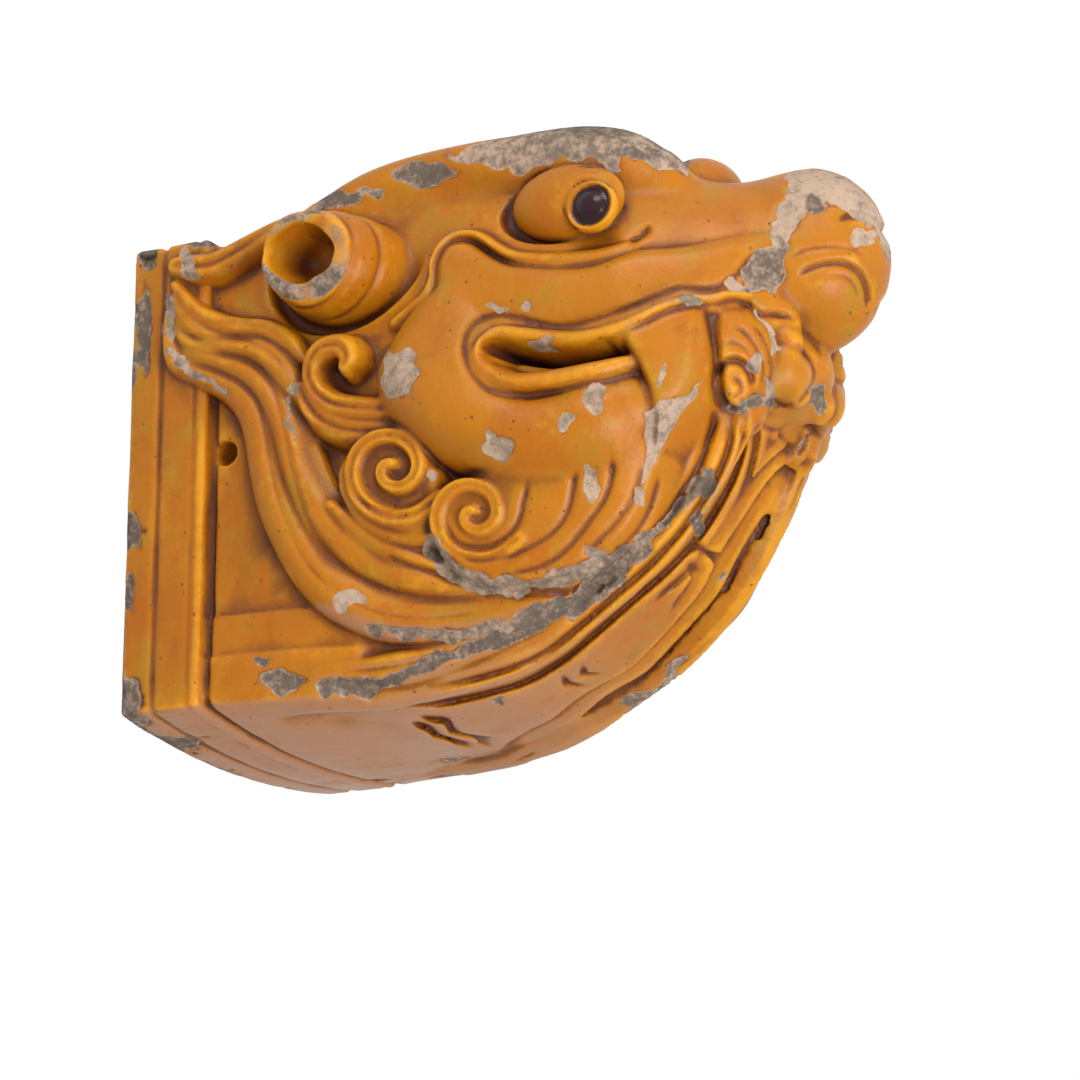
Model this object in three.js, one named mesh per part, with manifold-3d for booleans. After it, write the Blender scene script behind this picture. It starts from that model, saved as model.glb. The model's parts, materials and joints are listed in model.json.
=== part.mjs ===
// Ridge beast ornament: a glazed roof tile, shaped as a beast's head, that sleeves over a corner rafter.
// X runs from the open back towards the snout, Y across the head and Z up. Millimetres.
// Heights in this file are measured from the underside of the back frame.

import * as THREE from 'three';
import { mergeVertices } from 'three/addons/utils/BufferGeometryUtils.js';
import Module from 'manifold-3d';

const wasm = await Module();
wasm.setup();

// Driving dimensions
const FRAME_WIDTH = 204;
const FRAME_HEIGHT = 240;
const FRAME_DEPTH = 44;
const FRAME_CORNER = 3;
const FILLET_GROOVE_X = 18;
const GROOVE_DEPTH = 3;
const FRONT_GROOVE_DEPTH = 8;
const WALL = 17;
const NAIL_HOLE = { x: 53, z: 128, diameter: 12 };
const BELLY_BULGE = 8;
const CROWN_RISE = 3;
const SNOUT_CAP = { reach: 8, narrowing: 0.5, lowering: 0.6 };
const CAVITY_CORNER = 8;
const EYEBALL = { centre: [226, -67, 233], radii: [30, 19, 20] };
const PUPIL = { centre: [244, -83, 228], radius: 9, footRadius: 11, height: 9, turn: 12 };
const EYE_RIM = {
  x: 225, z: 233, wide: 34, tall: 25, from: -0.35, sweep: 1.35, stops: 12, width: 9, height: 9,
};
const NOSE = { centre: [325, 0, 214], radii: [40, 31, 46] };
const CHIN_TUFT = { centre: [302, -33, 132], radii: [12, 11, 12] };
const FEATHERS = { count: 4, firstTop: 218, pitch: 18 };
const SCALES = [{ x: 136, halfSpan: 58 }, { x: 208, halfSpan: 46 }, { x: 272, halfSpan: 36 }];
const SCALE_EDGE = { rows: 6, thick: 2.5, proud: 2.5, sunk: 4, wave: 7 };
const FOOT_STRIPS = [{ top: 45, proud: 1.5, end: 122 }, { top: 24, proud: 3.5, end: 126 }];
const WELD = 1e-3;

// Body sections along X: heights of the underside and the crown, and the half widths at each level
const SECTIONS = [
  { x: 40, low: 0, high: 238, sole: 96, flank: 97, crown: 96, bulge: 8 },
  { x: 90, low: 0, high: 250, sole: 88, flank: 96, crown: 84, bulge: 7 },
  { x: 130, low: 0, high: 264, sole: 76, flank: 94, crown: 70, bulge: 6 },
  { x: 172, low: 8, high: 272, sole: 67, flank: 91, crown: 60, bulge: 4 },
  { x: 215, low: 26, high: 272, sole: 62, flank: 85, crown: 54, bulge: 2 },
  { x: 258, low: 58, high: 264, sole: 54, flank: 75, crown: 44, bulge: -1 },
  { x: 287, low: 97, high: 252, sole: 46, flank: 60, crown: 34, bulge: -1 },
  { x: 306, low: 130, high: 244, sole: 40, flank: 46, crown: 28, bulge: 0 },
  { x: 320, low: 146, high: 232, sole: 26, flank: 32, crown: 20, bulge: 0 },
];

// Cavity sections along X: floor and ceiling, and the half widths at floor and ceiling
const CAVITY = [
  { x: -10, floor: WALL, roof: 240 - WALL, below: 85, above: 85 },
  { x: 50, floor: WALL, roof: 240 - WALL, below: 81, above: 80 },
  { x: 95, floor: WALL, roof: 228, below: 70, above: 68 },
  { x: 135, floor: 18, roof: 236, below: 58, above: 56 },
  { x: 175, floor: 30, roof: 240, below: 48, above: 46 },
  { x: 215, floor: 50, roof: 240, below: 42, above: 38 },
  { x: 238, floor: 74, roof: 222, below: 32, above: 28 },
];

const vec = (x, y, z) => new THREE.Vector3(x, y, z);
const lerp = THREE.MathUtils.lerp;
const clamp01 = (value) => THREE.MathUtils.clamp(value, 0, 1);

// Broken horn: its line from foot to mouth, the slant of the break, its radii and the shares of its length
// at which grooves run round it
const HORN = {
  foot: vec(114, -76, 216), mouth: vec(107, -120, 211), breakNormal: vec(0.1, -0.98, -0.16).normalize(),
  sides: 12, root: 12, footWide: 33, footTall: 27, rim: 21.5, groove: 2, grooveWidth: 5, grooves: [0.38, 0.7],
  boreWide: 18, boreTall: 16.5, boreDepth: 30,
};

// Geometry and solids
function signedVolume(positions, index) {
  let sum = 0;
  const [a, b, c] = [vec(0, 0, 0), vec(0, 0, 0), vec(0, 0, 0)];
  for (let i = 0; i < index.length; i += 3) {
    a.fromArray(positions, index[i] * 3);
    b.fromArray(positions, index[i + 1] * 3);
    c.fromArray(positions, index[i + 2] * 3);
    sum += a.dot(b.cross(c)) / 6;
  }
  return sum;
}

function toSolid(geometry) {
  const bare = geometry.clone();
  bare.deleteAttribute('normal');
  bare.deleteAttribute('uv');
  const welded = mergeVertices(bare, WELD);
  const vertProperties = Float32Array.from(welded.attributes.position.array);
  const triVerts = Uint32Array.from(welded.index.array);
  if (signedVolume(vertProperties, triVerts) < 0) {
    for (let i = 0; i < triVerts.length; i += 3) {
      [triVerts[i], triVerts[i + 1]] = [triVerts[i + 1], triVerts[i]];
    }
  }
  return new wasm.Manifold(new wasm.Mesh({ numProp: 3, vertProperties, triVerts }));
}

// A closed skin over rings of equally many points, capped at both ends
function skin(rings) {
  const count = rings[0].length;
  const positions = [];
  const index = [];
  rings.forEach((ring) => ring.forEach((point) => positions.push(...point.toArray())));
  for (let r = 0; r < rings.length - 1; r += 1) {
    for (let i = 0; i < count; i += 1) {
      const here = r * count + i;
      const next = r * count + ((i + 1) % count);
      index.push(here, next, next + count, here, next + count, here + count);
    }
  }
  const cap = (start, flip) => {
    const middle = positions.length / 3;
    const centre = vec(0, 0, 0);
    for (let i = 0; i < count; i += 1) {
      centre.add(vec(0, 0, 0).fromArray(positions, (start + i) * 3));
    }
    positions.push(...centre.divideScalar(count).toArray());
    for (let i = 0; i < count; i += 1) {
      const next = start + ((i + 1) % count);
      index.push(...(flip ? [middle, next, start + i] : [middle, start + i, next]));
    }
  };
  cap(0, true);
  cap((rings.length - 1) * count, false);
  const geometry = new THREE.BufferGeometry();
  geometry.setAttribute('position', new THREE.Float32BufferAttribute(positions, 3));
  geometry.setIndex(index);
  return geometry;
}

// Body form
function section(x) {
  const last = SECTIONS.length - 1;
  let i = 0;
  while (i < last - 1 && x > SECTIONS[i + 1].x) {
    i += 1;
  }
  const [a, b] = [SECTIONS[i], SECTIONS[i + 1]];
  const share = clamp01((x - a.x) / (b.x - a.x));
  const mixed = { x };
  for (const key of ['low', 'high', 'sole', 'flank', 'crown', 'bulge']) {
    mixed[key] = lerp(a[key], b[key], share);
  }
  return mixed;
}

function halfWidth(x, z) {
  const s = section(x);
  const level = clamp01((z - s.low) / (s.high - s.low));
  const [flankStart, flankEnd] = [0.45, 0.62];
  if (level < flankStart) {
    return lerp(s.sole, s.flank, Math.sin((Math.PI / 2) * (level / flankStart)));
  }
  if (level > flankEnd) {
    return lerp(s.flank, s.crown, 1 - Math.cos((Math.PI / 2) * ((level - flankEnd) / (1 - flankEnd))));
  }
  return s.flank;
}

function bodyRing(x) {
  const s = section(x);
  const levels = [0, 0.22, 0.45, 0.62, 0.84, 1];
  const side = levels.map((level) => {
    const z = lerp(s.low, s.high, level);
    return [halfWidth(x, z), z];
  });
  const half = [[s.sole / 2, s.low - s.bulge * 0.75], ...side, [s.crown / 2, s.high + CROWN_RISE]];
  const right = half.map(([y, z]) => vec(x, y, z));
  const left = half.map(([y, z]) => vec(x, -y, z)).reverse();
  return [vec(x, 0, s.low - s.bulge), ...right, vec(x, 0, s.high + CROWN_RISE), ...left];
}

function bodySolid() {
  const xs = SECTIONS.map((entry) => entry.x);
  const nose = SECTIONS[SECTIONS.length - 1];
  const front = bodyRing(nose.x).map((point) => {
    const middle = (nose.low + nose.high) / 2;
    const level = middle + (point.z - middle) * SNOUT_CAP.lowering;
    return vec(nose.x + SNOUT_CAP.reach, point.y * SNOUT_CAP.narrowing, level);
  });
  return toSolid(skin([...xs.map(bodyRing), front]));
}

// Back frame: a square band with a fillet groove on it
function squareRing(x, inset) {
  const [w, h, c] = [FRAME_WIDTH / 2 - inset, FRAME_HEIGHT - inset, FRAME_CORNER];
  return [
    vec(x, -w + c, inset), vec(x, w - c, inset), vec(x, w, inset + c), vec(x, w, h - c),
    vec(x, w - c, h), vec(x, -w + c, h), vec(x, -w, h - c), vec(x, -w, inset + c),
  ];
}

function frameSolid() {
  const g = FILLET_GROOVE_X;
  const profile = [
    [0, 1], [2, 0], [g - 2, 0], [g, GROOVE_DEPTH], [g + 2, 0],
    [FRAME_DEPTH - 1, 0], [FRAME_DEPTH, 1], [FRAME_DEPTH + 0.5, FRONT_GROOVE_DEPTH],
  ];
  return toSolid(skin(profile.map(([x, inset]) => squareRing(x, inset))));
}

// The convex sill that carries the frame's lower edge out to the bulge of the belly
function sillSolid() {
  const shape = new THREE.Shape();
  const half = FRAME_WIDTH / 2 - FRAME_CORNER;
  shape.moveTo(-half, WALL / 2);
  shape.lineTo(-half, 0);
  shape.quadraticCurveTo(0, -2 * BELLY_BULGE, half, 0);
  shape.lineTo(half, WALL / 2);
  shape.closePath();
  const settings = { depth: FRAME_DEPTH, bevelEnabled: false, curveSegments: 8 };
  const geometry = new THREE.ExtrudeGeometry(shape, settings);
  geometry.rotateX(Math.PI / 2);
  geometry.rotateZ(Math.PI / 2);
  return toSolid(geometry);
}

function cavitySolid() {
  const corner = CAVITY_CORNER;
  const rings = CAVITY.map(({ x, floor, roof, below, above }) => [
    vec(x, -below + corner, floor), vec(x, below - corner, floor), vec(x, below, floor + corner),
    vec(x, above, roof - corner), vec(x, above - corner, roof), vec(x, -above + corner, roof),
    vec(x, -above, roof - corner), vec(x, -below, floor + corner),
  ]);
  return toSolid(skin(rings));
}

// Relief on the near side: y is negative, and the far side is its mirror image
function onSide(x, z, lift) {
  return vec(x, -(Math.max(halfWidth(x, z), x < FRAME_DEPTH ? FRAME_WIDTH / 2 : 0) + lift), z);
}

function sideNormal(x, z) {
  const step = 2;
  const alongX = onSide(x + step, z, 0).sub(onSide(x - step, z, 0));
  const alongZ = onSide(x, z + step, 0).sub(onSide(x, z - step, 0));
  const normal = alongX.cross(alongZ).normalize();
  return normal.y > 0 ? normal.negate() : normal;
}

// Profile across a lock of hair: lobes between grooves, lower at both edges
function lobed(lobes) {
  const points = [];
  const perLobe = lobes > 1 ? 2 : 3;
  for (let i = 0; i <= lobes * perLobe; i += 1) {
    const u = (2 * i) / (lobes * perLobe) - 1;
    const dome = Math.sqrt(Math.max(0, 1 - u * u * 0.8));
    const valley = i % perLobe === 0 ? 0.55 : 1;
    points.push([u, dome * valley]);
  }
  return points;
}

// A band swept along the side. Each stop is [x, z, width, height]
function sideBand(stops, { lobes = 1, steps = 12, sunk = 7, base = 0 } = {}) {
  const path = new THREE.CatmullRomCurve3(stops.map(([x, z]) => vec(x, 0, z)), false, 'centripetal');
  const profile = lobed(lobes);
  const rings = [];
  for (let i = 0; i <= steps; i += 1) {
    const t = i / steps;
    const at = path.getPoint(t);
    const slot = t * (stops.length - 1);
    const k = Math.min(Math.floor(slot), stops.length - 2);
    const width = lerp(stops[k][2], stops[k + 1][2], slot - k);
    const height = lerp(stops[k][3], stops[k + 1][3], slot - k);
    const normal = sideNormal(at.x, at.z);
    const centre = onSide(at.x, at.z, base);
    const across = path.getTangent(t).cross(normal).normalize();
    const place = (u, up) => centre.clone()
      .addScaledVector(across, (u * width) / 2)
      .addScaledVector(normal, up);
    rings.push([
      ...profile.map(([u, rise]) => place(u, rise * height)),
      place(1, -sunk),
      place(-1, -sunk),
    ]);
  }
  return toSolid(skin(rings));
}

// A rounded roll swept through space. Each stop is [x, y, z, radius across, radius in height]
function roll(stops, { steps = 8, sides = 10 } = {}) {
  const path = new THREE.CatmullRomCurve3(stops.map(([x, y, z]) => vec(x, y, z)), false, 'centripetal');
  const rings = [];
  for (let i = 0; i <= steps; i += 1) {
    const t = i / steps;
    const slot = t * (stops.length - 1);
    const k = Math.min(Math.floor(slot), stops.length - 2);
    const wide = lerp(stops[k][3], stops[k + 1][3], slot - k);
    const tall = lerp(stops[k][4], stops[k + 1][4], slot - k);
    const tangent = path.getTangent(t);
    const sideways = vec(0, 1, 0).addScaledVector(tangent, -tangent.y).normalize();
    const upward = tangent.clone().cross(sideways).normalize();
    const centre = path.getPoint(t);
    const ring = [];
    for (let j = 0; j < sides; j += 1) {
      const turn = (2 * Math.PI * j) / sides;
      ring.push(centre.clone()
        .addScaledVector(sideways, wide * Math.cos(turn))
        .addScaledVector(upward, tall * Math.sin(turn)));
    }
    rings.push(ring);
  }
  return toSolid(skin(rings));
}

function ellipsoid([x, y, z], [rx, ry, rz], around, high) {
  const geometry = new THREE.SphereGeometry(1, around, high);
  geometry.rotateX(Math.PI / 2);
  geometry.scale(rx, ry, rz);
  geometry.translate(x, y, z);
  return toSolid(geometry);
}

// A spiral curl: it winds in clockwise as seen from the near side
function curlStops({ x, z, from, turns, outer, inner, width, height }, count) {
  const stops = [];
  for (let i = 0; i < count; i += 1) {
    const share = i / (count - 1);
    const angle = from - share * turns * 2 * Math.PI;
    const radius = lerp(outer, inner, Math.pow(share, 0.75));
    stops.push([
      x + radius * Math.cos(angle),
      z + radius * Math.sin(angle),
      lerp(width, width * 0.35, share),
      lerp(height, height * 1.25, share),
    ]);
  }
  return stops;
}

// Mane: locks that sweep down the flank, and the lock along the lower edge
function maneSolids() {
  const mainLock = [
    [26, 193, 42, 6], [50, 178, 42, 9], [72, 164, 42, 10], [85, 139, 34, 11], [92, 110, 31, 11],
    [104, 82, 35, 11], [121, 61, 37, 11], [144, 47, 35, 10], [172, 40, 28, 9], [200, 37, 17, 8],
    [226, 42, 4, 6],
  ];
  const earLock = [[33, 225, 18, 6], [48, 225, 18, 7], [64, 233, 18, 8], [80, 244, 16, 9], [98, 252, 12, 8]];
  const lowLock = [[108, 14, 10, 4], [140, 14, 15, 6], [170, 19, 13, 6], [200, 30, 9, 6], [226, 44, 4, 4]];
  const leafLock = [[124, 86, 12, 11], [142, 68, 14, 11], [168, 60, 10, 10], [186, 58, 3, 8]];
  return [
    sideBand(mainLock, { lobes: 3, steps: 11 }),
    sideBand(earLock, { lobes: 2, steps: 5 }),
    sideBand(lowLock, { lobes: 1, steps: 5 }),
    sideBand(leafLock, { lobes: 1, steps: 4 }),
  ];
}

// Curls behind and below the jaw
function curlSolids() {
  const hook = [
    [146, 112, 24, 14], [120, 122, 22, 15], [103, 140, 18, 16], [103, 160, 15, 16], [116, 170, 12, 16],
    [127, 164, 9, 16], [124, 155, 7, 14],
  ];
  const middle = curlStops(
    { x: 149, z: 100, from: -0.9, turns: 1.15, outer: 27, inner: 4, width: 20, height: 18 }, 14);
  const beard = curlStops(
    { x: 192, z: 74, from: -0.7, turns: 1.15, outer: 30, inner: 4, width: 20, height: 20 }, 14);
  const feathers = [];
  for (let k = 0; k < FEATHERS.count; k += 1) {
    const top = FEATHERS.firstTop + FEATHERS.pitch * k;
    const drop = 56 - 3 * k;
    const rise = 18 - 2.5 * k;
    feathers.push(sideBand([
      [top, 104, 15, rise], [top - 3, 84, 17, rise], [top - 16, drop + 6, 16, rise],
      [top - 40, drop - 6, 8, 12],
    ], { lobes: 1, steps: 3 }));
  }
  return [
    sideBand(hook, { lobes: 1, steps: 8, sunk: 9 }),
    sideBand(middle, { lobes: 1, steps: 11, sunk: 9 }),
    sideBand(beard, { lobes: 1, steps: 11, sunk: 9 }),
    ...feathers,
  ];
}

// The broken horn: it narrows from an oval foot to an oblique break, with grooves round it and a bore
function hornRing(depth, wide, tall, atBreak) {
  const along = HORN.mouth.clone().sub(HORN.foot).normalize();
  const across = vec(1, 0, 0).addScaledVector(along, -along.x).normalize();
  const upward = across.clone().cross(along).normalize();
  const ring = [];
  for (let i = 0; i < HORN.sides; i += 1) {
    const turn = (2 * Math.PI * i) / HORN.sides;
    const point = HORN.foot.clone()
      .addScaledVector(along, depth)
      .addScaledVector(across, wide * Math.cos(turn))
      .addScaledVector(upward, tall * Math.sin(turn));
    const slide = HORN.mouth.clone().sub(point).dot(HORN.breakNormal) / along.dot(HORN.breakNormal);
    ring.push(atBreak ? point.addScaledVector(along, slide) : point);
  }
  return ring;
}

function hornSolid() {
  const length = HORN.mouth.distanceTo(HORN.foot);
  const { footWide, footTall, rim, groove } = HORN;
  const wideAt = (share) => lerp(footWide, rim, share);
  const tallAt = (share) => lerp(footTall, rim, share);
  const rings = [hornRing(-HORN.root, footWide, footTall, false)];
  HORN.grooves.forEach((share) => {
    const halfSpan = HORN.grooveWidth / 2;
    [[-halfSpan, 0], [0, groove], [halfSpan, 0]].forEach(([offset, sink]) => {
      rings.push(hornRing(share * length + offset, wideAt(share) - sink, tallAt(share) - sink, false));
    });
  });
  rings.push(hornRing(length, rim, rim, true));
  return toSolid(skin(rings));
}

function hornBore() {
  const { boreWide, boreTall, boreDepth } = HORN;
  const length = HORN.mouth.distanceTo(HORN.foot);
  const taper = 0.8;
  return toSolid(skin([
    hornRing(length - boreDepth, boreWide * taper, boreTall * taper, false),
    hornRing(length + HORN.root, boreWide, boreTall, false),
  ]));
}

// Eye, brow and the flame-edged lid below the eye
function eyeSolids() {
  const pupil = new THREE.CylinderGeometry(PUPIL.radius, PUPIL.footRadius, PUPIL.height, 10);
  pupil.rotateX(Math.PI);
  pupil.rotateZ(THREE.MathUtils.degToRad(PUPIL.turn));
  pupil.translate(...PUPIL.centre);
  const lid = [
    [168, 190, 8, 5], [168, 208, 8, 7], [175, 219, 8, 7], [188, 218, 8, 7], [201, 207, 9, 8],
    [222, 200, 9, 8], [248, 198, 9, 8], [268, 206, 6, 6],
  ];
  const { x, z, wide, tall, from, sweep, stops, width, height } = EYE_RIM;
  const rim = [];
  for (let i = 0; i <= stops; i += 1) {
    const turn = Math.PI * (from + (i / stops) * sweep);
    rim.push([x + wide * Math.cos(turn), z + tall * Math.sin(turn), width, height]);
  }
  return [
    ellipsoid(EYEBALL.centre, EYEBALL.radii, 10, 7),
    toSolid(pupil),
    sideBand(lid, { lobes: 1, steps: 8 }),
    sideBand(rim, { lobes: 1, steps: 8 }),
  ];
}

function browSolid() {
  return roll([
    [94, -78, 250, 9, 8], [122, -68, 262, 14, 11], [152, -60, 266, 17, 13], [186, -58, 267, 20, 15],
    [226, -54, 265, 21, 18], [256, -46, 262, 18, 17], [284, -30, 252, 12, 11],
  ], { steps: 8, sides: 8 });
}

// Cheek and jaw: a heavy roll from below the horn to the fang
function jawSolids() {
  return [
    roll([
      [146, -82, 158, 10, 12], [158, -84, 148, 22, 23], [178, -86, 130, 27, 25], [205, -84, 117, 28, 25],
      [236, -78, 118, 26, 23], [266, -68, 125, 20, 18], [280, -62, 132, 10, 10],
    ], { steps: 7, sides: 8 }),
    roll([[164, -78, 150, 17, 20], [174, -78, 180, 16, 18], [184, -76, 204, 12, 14]], { steps: 3, sides: 8 }),
  ];
}

// Lips: one band that runs back from the snout, round the corner of the mouth and forward again
function lipSolid() {
  const lip = [
    [322, 186, 11, 7], [298, 176, 12, 9], [266, 163, 12, 13], [236, 160, 11, 15], [208, 165, 10, 14],
    [194, 156, 9, 13], [204, 143, 9, 17], [232, 140, 10, 22], [262, 143, 9, 22],
  ];
  return sideBand(lip, { lobes: 1, steps: 10 });
}

function mouthCut() {
  const slit = [[203, 156, 6, 30], [222, 152, 9, 34], [248, 150, 9, 34], [268, 153, 9, 30]];
  return sideBand(slit, { lobes: 1, steps: 5, sunk: 8 });
}

function fangSolid() {
  const fang = [
    [281, 166, 42, 15], [286, 140, 31, 18], [284, 118, 21, 19], [278, 101, 11, 18], [271, 89, 2, 12],
  ];
  return sideBand(fang, { lobes: 1, steps: 5, sunk: 12 });
}

// Snout: the bridge and the ball of the nose, with a crescent nostril and an arc cut round its lower lobe
function snoutSolids() {
  const bridge = roll([
    [232, 0, 254, 34, 18], [272, 0, 246, 30, 16], [298, 0, 238, 28, 18], [322, 0, 230, 27, 22],
  ], { steps: 3, sides: 8 });
  return [bridge, ellipsoid(NOSE.centre, NOSE.radii, 12, 8)];
}

function nostrilCuts() {
  const crescent = roll([
    [342, -32, 232, 4, 3], [354, -28, 230, 5, 4], [364, -16, 220, 5, 4], [365, -10, 206, 4, 3],
  ], { steps: 3, sides: 5 });
  const lobeArc = roll([
    [314, -34, 206, 3, 3], [330, -32, 208, 4, 4], [346, -27, 200, 4, 4], [354, -20, 186, 3, 3],
  ], { steps: 4, sides: 5 });
  return [crescent, lobeArc];
}

// Whisker curl behind the fang, the arched upper lip in front, the tongue and the chin tuft
function frontSolids() {
  const whisker = [
    [294, 170, 13, 11], [307, 172, 14, 12], [316, 160, 13, 13], [316, 146, 12, 13], [308, 137, 9, 12],
  ];
  const arch = roll([
    [298, -30, 188, 8, 8], [316, -26, 182, 8, 8], [322, -25, 166, 8, 8], [320, -28, 150, 7, 8],
    [308, -32, 138, 7, 8],
  ], { steps: 4, sides: 6 });
  return [
    sideBand(whisker, { lobes: 1, steps: 6, sunk: 12 }),
    arch,
    ellipsoid(CHIN_TUFT.centre, CHIN_TUFT.radii, 6, 4),
  ];
}

function tongueSolid() {
  return roll([[286, 0, 148, 30, 18], [308, 0, 154, 30, 20], [322, 0, 160, 24, 16], [328, 0, 164, 12, 8]],
    { steps: 3, sides: 10 });
}

// Throat: a rounded rim along each lower edge, and bracket-shaped scale edges across the belly
function rimSolid() {
  return roll([
    [100, -78, 3, 8, 5], [134, -68, 4, 8, 6], [172, -59, 12, 8, 7], [216, -52, 31, 8, 8],
    [258, -45, 63, 8, 8], [287, -39, 101, 8, 8], [302, -35, 130, 8, 8],
  ], { steps: 6, sides: 6 });
}

function scaleEdge({ x, halfSpan }) {
  const { rows, thick, proud, sunk, wave } = SCALE_EDGE;
  const rings = [];
  for (let i = 0; i <= rows; i += 1) {
    const y = lerp(-halfSpan, halfSpan, i / rows);
    const share = Math.abs(y) / halfSpan;
    const bracket = wave * Math.cos(3 * Math.PI * share) * (1 - 0.4 * share);
    const s = section(x + bracket);
    const z = s.low - s.bulge * (1 - Math.pow(y / s.sole, 2));
    const slope = (section(x + 5).low - section(x - 5).low) / 10;
    const down = vec(slope, 0, -1).normalize();
    const ahead = vec(1, 0, slope).normalize();
    const centre = vec(x + bracket, y, z);
    const corners = [[-thick, -sunk], [thick, -sunk], [thick, proud], [-thick * 0.2, proud]];
    rings.push(corners.map(([a, d]) => centre.clone()
      .addScaledVector(ahead, a)
      .addScaledVector(down, d)));
  }
  return toSolid(skin(rings));
}

// Framing strips along the foot of the flank, behind the mane
function footStrip({ top, proud, end }) {
  const start = FRAME_DEPTH + 3;
  const inward = 12;
  const bottom = 1;
  const ringAt = (x) => [
    onSide(x, bottom, proud), onSide(x, top, proud), onSide(x, top, -inward), onSide(x, bottom, -inward),
  ];
  return toSolid(skin([ringAt(start), ringAt((start + end) / 2), ringAt(end)]));
}

function nailHole() {
  const radius = NAIL_HOLE.diameter / 2;
  const hole = new THREE.CylinderGeometry(radius, radius, FRAME_WIDTH * 2, 12);
  hole.translate(NAIL_HOLE.x, 0, NAIL_HOLE.z);
  return toSolid(hole);
}

// Putting the head together
function both(solid) {
  return solid.add(toSolid(toGeometry(solid).scale(1, -1, 1)));
}

function joined(solids) {
  return solids.reduce((whole, next) => whole.add(next));
}

function headSolid() {
  const oneSide = joined([
    ...maneSolids(), ...curlSolids(), hornSolid(), ...eyeSolids(), browSolid(), ...jawSolids(), lipSolid(),
    fangSolid(), ...frontSolids(), rimSolid(), ...FOOT_STRIPS.map(footStrip),
  ]);
  const middle = joined([
    bodySolid(), frameSolid(), sillSolid(), ...snoutSolids(), tongueSolid(), ...SCALES.map(scaleEdge),
  ]);
  const outside = middle.add(both(oneSide));
  const cuts = joined([both(joined([hornBore(), mouthCut(), ...nostrilCuts()])), cavitySolid(), nailHole()]);
  return outside.subtract(cuts);
}

function toGeometry(solid) {
  const mesh = solid.getMesh();
  const geometry = new THREE.BufferGeometry();
  geometry.setAttribute('position', new THREE.Float32BufferAttribute(mesh.vertProperties, 3));
  geometry.setIndex(new THREE.Uint32BufferAttribute(mesh.triVerts, 1));
  geometry.computeVertexNormals();
  return geometry;
}

const glaze = new THREE.MeshStandardMaterial({ color: 0xb8742a, roughness: 0.3, metalness: 0 });
const head = new THREE.Mesh(toGeometry(headSolid()), glaze);
head.name = 'beast_head';

// The origin is the middle of the square opening at the back
const ornament = new THREE.Group();
ornament.position.set(0, 0, -FRAME_HEIGHT / 2);
ornament.add(head);

export default ornament;
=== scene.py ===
import json
import math

import bpy
import numpy as np
import openvdb
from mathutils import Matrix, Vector

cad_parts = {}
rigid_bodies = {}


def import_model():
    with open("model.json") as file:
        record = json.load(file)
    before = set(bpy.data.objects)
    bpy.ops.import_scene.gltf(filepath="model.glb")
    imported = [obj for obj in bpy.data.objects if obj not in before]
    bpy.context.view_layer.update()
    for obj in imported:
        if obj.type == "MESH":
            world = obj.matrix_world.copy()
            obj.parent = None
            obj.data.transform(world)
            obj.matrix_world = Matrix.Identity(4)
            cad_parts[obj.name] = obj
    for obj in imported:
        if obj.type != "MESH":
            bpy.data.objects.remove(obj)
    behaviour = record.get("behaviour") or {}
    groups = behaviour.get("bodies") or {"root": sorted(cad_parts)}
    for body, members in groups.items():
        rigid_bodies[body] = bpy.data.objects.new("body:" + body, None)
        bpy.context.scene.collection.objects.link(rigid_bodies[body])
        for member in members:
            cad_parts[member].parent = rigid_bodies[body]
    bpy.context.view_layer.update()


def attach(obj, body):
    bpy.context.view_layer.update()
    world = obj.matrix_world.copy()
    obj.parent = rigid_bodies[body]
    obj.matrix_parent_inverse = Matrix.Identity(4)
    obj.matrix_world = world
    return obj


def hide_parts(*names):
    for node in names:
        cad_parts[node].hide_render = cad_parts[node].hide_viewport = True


bl_info = {
    "name": "Ridge beast ornament",
    "version": (1, 0, 0),
    "blender": (4, 5, 0),
    "location": "View3D > Sidebar > Ornament",
    "description": "Models a glazed rafter-sleeve beast head and the stage that shows it",
    "category": "Add Mesh",
}

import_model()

MILLIMETRE = 0.001
# Height of the opening's middle above the frame's underside, in millimetres
FRAME_MIDDLE = 120.0

# Form of the head, in millimetres: x from the back rim to the snout, z from the frame's underside.
# Columns: x, underside, crown, half width at the sole, the flank and the crown, bulge of the belly
SECTIONS = np.array([
    [0, 0, 238, 97, 97, 96, 8],
    [40, 0, 238, 96, 97, 96, 8],
    [90, 0, 250, 88, 96, 84, 7],
    [130, 0, 264, 76, 94, 70, 6],
    [172, 8, 272, 67, 91, 60, 4],
    [215, 26, 272, 62, 85, 54, 2],
    [258, 58, 264, 54, 75, 44, -1],
    [287, 97, 252, 46, 60, 34, -1],
    [306, 130, 244, 40, 46, 28, 0],
    [320, 146, 232, 26, 32, 20, 0],
    [332, 152, 226, 10, 14, 8, 0],
], dtype=np.float32)

# Columns: x, floor, roof, half width of the hollow at floor and roof
HOLLOW = np.array([
    [-10, 17, 223, 85, 85],
    [50, 17, 223, 81, 80],
    [95, 17, 228, 70, 68],
    [135, 18, 236, 58, 56],
    [175, 30, 240, 48, 46],
    [215, 50, 240, 42, 38],
    [238, 74, 222, 32, 28],
], dtype=np.float32)

# Shares of the height at which the flank's upright part starts and ends
FLANK_START, FLANK_END = 0.45, 0.62
# Corners of the voxel grid of the near half
GRID_LOW = np.array([-4.0, -134.0, -13.0])
GRID_HIGH = np.array([369.0, 0.0, 288.0])
# Where the body starts and ends in x, where the band of the frame ends, and the groove in front of it
BODY_BACK, BODY_FRONT = 19, 324
BAND_END, SEAM = 44, 46.5
# The framed panel behind the mane: its front end, and how high and how proud its two foot strips are
PANEL_END, STRIP_HEIGHTS = 128, ((46, 1.8), (26, 2.0))
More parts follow.
